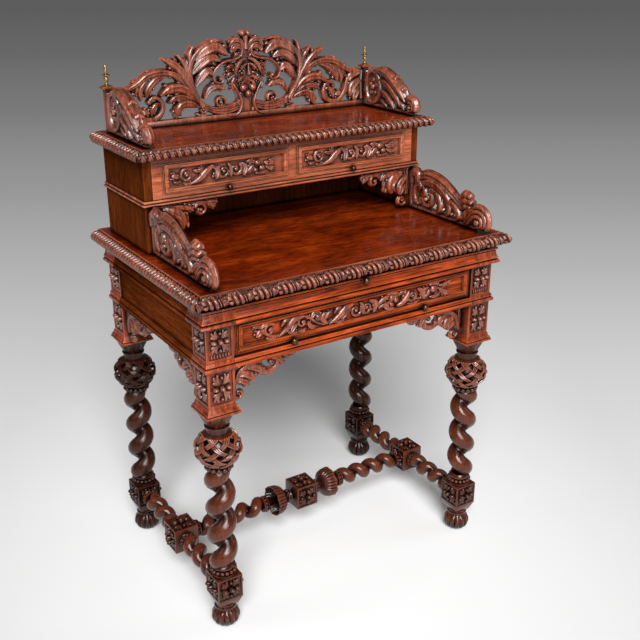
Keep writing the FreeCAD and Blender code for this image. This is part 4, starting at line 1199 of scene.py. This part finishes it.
def console_carving():
    """Console beside the writing space: along is towards the front, up is above the tabletop."""
    made = Carving(3.4, True, 0.62)
    made.stroke([(0, 5), (110, 5), (236, 5)], (5, 5, 5))
    made.stroke([(4, 4), (3, 30), (4, 58), (8, 78)], (5, 6, 7, 7), 0, 0.25)
    # rolled leaf against the case
    made.stroke([(4, 60), (6, 80), (18, 88), (30, 82), (30, 68)], (7, 10, 11, 8), 3, 0.3)
    made.lobe([(22, 70), (36, 66), (46, 54)], 9, 1)
    # hollow with a bud in it
    made.stroke([(26, 62), (16, 46), (18, 26), (34, 14)], (5, 6, 6), 0, 0.25)
    made.stroke([(30, 12), (36, 40), (40, 70)], (10, 15, 12), -3.6, 0.0, 0.05)
    made.berry(40, 24, 8, 10, 3)
    # broad leaf sweeping down to the front
    made.stroke([(30, 78), (66, 88), (110, 82), (152, 64), (186, 44)], (7, 11, 12, 11, 7), 0.6, 0.75)
    made.stroke([(34, 86), (68, 95), (112, 90), (156, 71), (188, 50)], (3, 4.5, 4.5, 3), -1.5)
    made.lobe([(44, 68), (82, 74), (118, 64), (152, 42)], 12, 2)
    made.volute(66, 34, 20, 1.2, 60, 7, -1, 2)
    made.lobe([(52, 60), (60, 50), (58, 36)], 7, 3)
    made.lobe([(78, 62), (104, 50), (116, 30), (112, 10)], 11, 3)
    made.lobe([(116, 58), (138, 42), (146, 24), (140, 10)], 9, 1)
    made.lobe([(140, 50), (166, 38), (180, 22), (176, 8)], 10, 3)
    # bud of three folds
    made.stroke([(182, 62), (198, 72), (216, 70)], (7, 9, 6), 3)
    made.stroke([(182, 50), (200, 60), (222, 58)], (7, 9, 6), 4)
    made.stroke([(184, 40), (202, 48), (216, 46)], (6, 8, 5), 3)
    # rolled end
    made.lobe([(184, 12), (206, 34), (230, 44)], 9, 1)
    made.stroke([(196, 14), (210, 34), (228, 50), (250, 53), (268, 42), (274, 22), (266, 6)],
                (4, 5.5, 6, 6, 5), 1)
    made.stroke([(202, 10), (216, 28), (232, 41), (250, 43), (264, 33), (266, 18), (256, 8)],
                (4, 6, 6, 6, 5), 4)
    made.stroke([(212, 8), (224, 24), (236, 32), (250, 33), (258, 24), (256, 13), (244, 10)],
                (4, 6, 6, 5, 4), 7)
    made.berry(244, 20, 9, 9, 8, 5)
    return made


def bracket_carving(length):
    """Under the frieze: along is away from the post, up is turned down."""
    made = Carving(2.6, True)
    k = length / 165
    made.stroke([(0, 4), (80 * k, 4), (156 * k, 4)], (4, 4, 3))
    made.stroke([(5, 0), (6, 26), (6, 50), (10, 64)], (5, 6, 5), 0, 0.25)
    made.volute(20, 74, 11, 1.1, 180, 5, -1)
    made.stroke([(8, 66), (14, 40), (32 * k, 20), (62 * k, 11), (98 * k, 8)], (4, 7, 8, 7, 4), 3, 0.3)
    made.lobe([(12, 50), (22, 44), (36, 50), (42, 60)], 9, 1)
    made.lobe([(18, 34), (34 * k, 32), (48 * k, 40), (52 * k, 52)], 11, 2)
    made.lobe([(34 * k, 20), (54 * k, 22), (66 * k, 30), (68 * k, 42)], 11, 1)
    made.lobe([(10, 24), (18, 12), (36 * k, 6)], 8)
    made.stroke([(60 * k, 8), (66 * k, 30), (84 * k, 42), (104 * k, 36), (108 * k, 20), (96 * k, 14)],
                (5, 7, 6, 4), 1, 0.25)
    made.berry(94 * k, 22, 6, 6, 5)
    made.lobe([(74 * k, 10), (90 * k, 8), (104 * k, 10)], 6)
    made.lobe([(104 * k, 8), (116 * k, 22), (120 * k, 36)], 7)
    made.lobe([(112 * k, 8), (128 * k, 14), (134 * k, 24)], 6)
    made.stroke([(122 * k, 8), (138 * k, 16), (154 * k, 10)], (6, 9, 5), 1, 0.3)
    return made


def case_bracket_carving():
    """Corner of the shelf space: along is away from the case side, up is turned down."""
    made = Carving(2.6, True)
    made.stroke([(0, 4), (60, 4), (138, 5)], (4, 4, 3))
    made.stroke([(5, 0), (6, 40), (8, 66)], (6, 7, 6), 0, 0.25)
    made.volute(21, 79, 13, 1.1, 160, 5.5, -1)
    made.lobe([(8, 20), (22, 30), (34, 44), (34, 60)], 9, 1)
    made.lobe([(8, 44), (22, 50), (30, 64)], 8)
    made.lobe([(26, 8), (48, 20), (60, 36), (58, 56)], 14, 3)
    made.lobe([(26, 14), (48, 18), (66, 30)], 10, 1)
    made.lobe([(40, 8), (62, 10), (84, 16)], 8, 2)
    made.lobe([(20, 10), (44, 8), (66, 8)], 7, 1)
    made.lobe([(58, 10), (76, 12), (88, 22)], 7)
    made.volute(104, 22, 15, 1.1, 200, 5.5, 1, 1)
    made.lobe([(86, 8), (104, 6), (124, 9)], 6)
    made.lobe([(114, 10), (128, 14), (138, 20)], 6)
    made.lobe([(120, 8), (134, 8), (144, 10)], 5)
    return made


HALF_THICK = 7
low, high = box_mm("gallery_wings")
left = wing_carving().piece("wing", (low.x + HALF_THICK, high.y, low.z), *FACING_LEFT)
fit(both("carved_wings", left), carved_oak, "gallery_wings")

low, high = box_mm("console_left")
place = ((low.x + high.x) / 2, high.y, low.z)
left = console_carving().piece("carved_console_left", place, *FACING_LEFT)
right = copied(left, "carved_console_right", MIRROR_X)
fit(left, carved_oak, "console_left")
fit(right, carved_oak, "console_right")


def hung_in_front(name, node, carving):
    """Pair of brackets that hang between posts and face the front."""
    low, high = box_mm(node)
    place = (low.x, (low.y + high.y) / 2, high.z)
    left = carving.piece("bracket", place, TO_RIGHT, DOWN, TO_FRONT)
    fit(both(name, left), rich_oak, node)


hung_in_front("carved_front_brackets", "front_brackets", bracket_carving(165))

low, high = box_mm("side_brackets")
x = low.x + HALF_THICK
near = bracket_carving(150).piece("near", (x, low.y, high.z), TO_BACK, DOWN, TO_LEFT)
far = bracket_carving(150).piece("far", (x, high.y, high.z), TO_FRONT, DOWN, TO_LEFT)
fit(both("carved_side_brackets", joined("side_pair", [near, far])), rich_oak, "side_brackets")

hung_in_front("carved_case_brackets", "case_brackets", case_bracket_carving())


# Joiner's pieces keep their solids and get softened edges and their finish

FINISHES = {
    "tabletop": top_oak, "upper_top": top_oak, "slide_board": plain_oak,
    "case_side_left": board_oak, "case_side_right": board_oak, "case_floor": board_oak,
    "case_back": back_board_oak_in_shade, "gallery_posts": post_oak, "front_stiles": post_oak,
    "case_stiles": case_oak, "case_divider": case_oak,
    "left_drawer_front": case_oak, "right_drawer_front": case_oak,
}
PLAIN_ENDINGS = ("_sides", "_bottom", "_runners", "_bearers", "_guides", "drawer_back")
for node, solid in nodes.items():
    finish = FINISHES.get(node, rail_oak)
    if node.endswith(PLAIN_ENDINGS):
        finish = plain_oak
    solid.data.materials.clear()
    solid.data.materials.append(finish)
    if solid.hide_render:
        continue
    weld = solid.modifiers.new("weld", "WELD")
    weld.merge_threshold = 2 * TINY
    edge = solid.modifiers.new("edge", "BEVEL")
    edge.width = 1.3 * MM
    edge.segments = 2
    edge.limit_method = "ANGLE"
    edge.angle_limit = math.radians(25)
    edge.harden_normals = True


# Stage: pale floor, soft light and the camera

AZIMUTH, ELEVATION, DISTANCE = math.radians(-33.05), math.radians(22.35), 2.15723
LOOK_AT = Vector((0.05596, 0.0072, 0.5449))
FLOOR_RADIUS, SHADING_REACH = 40, 20.0

put_down()
bpy.ops.mesh.primitive_circle_add(vertices=96, radius=FLOOR_RADIUS, fill_type="NGON", location=(0, 0, 0))
floor = bpy.context.object
floor.name = "floor"
material, tree, bsdf = shader("floor_paper")
facing = stretched(tree, (1, 1, 1))
facing.node.inputs["Rotation"].default_value = (0, 0, -AZIMUTH)
near = maths(tree, "ShaderNodeVectorMath", "MAXIMUM", facing, (-0.9, -0.6, 0))
middle = maths(tree, "ShaderNodeVectorMath", "MINIMUM", near.outputs[0], (0.9, FLOOR_RADIUS, 0))
away = maths(tree, "ShaderNodeVectorMath", "LENGTH", middle.outputs[0])
reach = wire(tree, tree.nodes.new("ShaderNodeMapRange"), {
    "Value": away.outputs["Value"], "From Max": SHADING_REACH})
# Floor colour darkens with distance from the table, most of all behind it: painted falloff of light.
paper_with_painted_falloff = ramp(tree, reach.outputs[0], [
    (0.02, 0.95), (0.035, 0.84), (0.0525, 0.72), (0.075, 0.62), (0.11, 0.51), (0.175, 0.37), (0.305, 0.235),
    (0.515, 0.165), (0.9, 0.13)])
seen = tree.nodes.new("ShaderNodeLightPath")
full = seen.outputs["Is Camera Ray"]
for kind in ("Is Glossy Ray", "Is Transmission Ray"):
    full = maths(tree, "ShaderNodeMath", "MAXIMUM", full, seen.outputs[kind]).outputs[0]
dim = ramp(tree, full, [(0.0, 0.3), (1.0, 1.0)])
wire(tree, bsdf, {"Base Color": blended(tree, "MULTIPLY", 1.0, paper_with_painted_falloff, dim), "Roughness": 0.9,
                  "Specular IOR Level": 0.1})
floor.data.materials.append(material)

world = bpy.data.worlds.new("studio")
scene.world = world
world.use_nodes = True
wire(world.node_tree, world.node_tree.nodes["Background"], {0: (1, 1, 1, 1), 1: 0.1})


def aimed(name, kind, place, direction):
    """Puts a lamp or camera at a place, looking in a direction."""
    holder = bpy.data.objects.new(name, kind)
    holder.location = place
    holder.rotation_euler = direction.to_track_quat("-Z", "Y").to_euler()
    scene.collection.objects.link(holder)
    return holder


def soft_light(name, place, target, size, power):
    lamp = bpy.data.lights.new(name, "AREA")
    lamp.shape = "RECTANGLE"
    lamp.size, lamp.size_y = size
    lamp.energy = power
    aimed(name, lamp, place, Vector(target) - Vector(place))


soft_light("right_box", (2.3, -1.0, 1.9), (0, 0, 0.6), (0.8, 1.5), 6)
soft_light("left_box", (-2.0, 0.4, 2.2), (0, 0, 0.7), (0.9, 1.4), 6)
soft_light("front_box", (-0.7, -2.8, 1.4), (0, 0, 0.85), (1.5, 0.9), 36)

sun = bpy.data.lights.new("key", "SUN")
sun.energy = 3.35
sun.angle = math.radians(30)
aimed("key", sun, (0, 0, 0), Vector((0.36, 0.66, -0.68)))

camera = bpy.data.cameras.new("camera")
camera.sensor_width = 36
camera.lens = 52.115
level = math.cos(ELEVATION)
back = Vector((math.sin(AZIMUTH) * level, -math.cos(AZIMUTH) * level, math.sin(ELEVATION)))
scene.camera = aimed("camera", camera, LOOK_AT + back * DISTANCE, -back)
scene.view_settings.view_transform = "Standard"
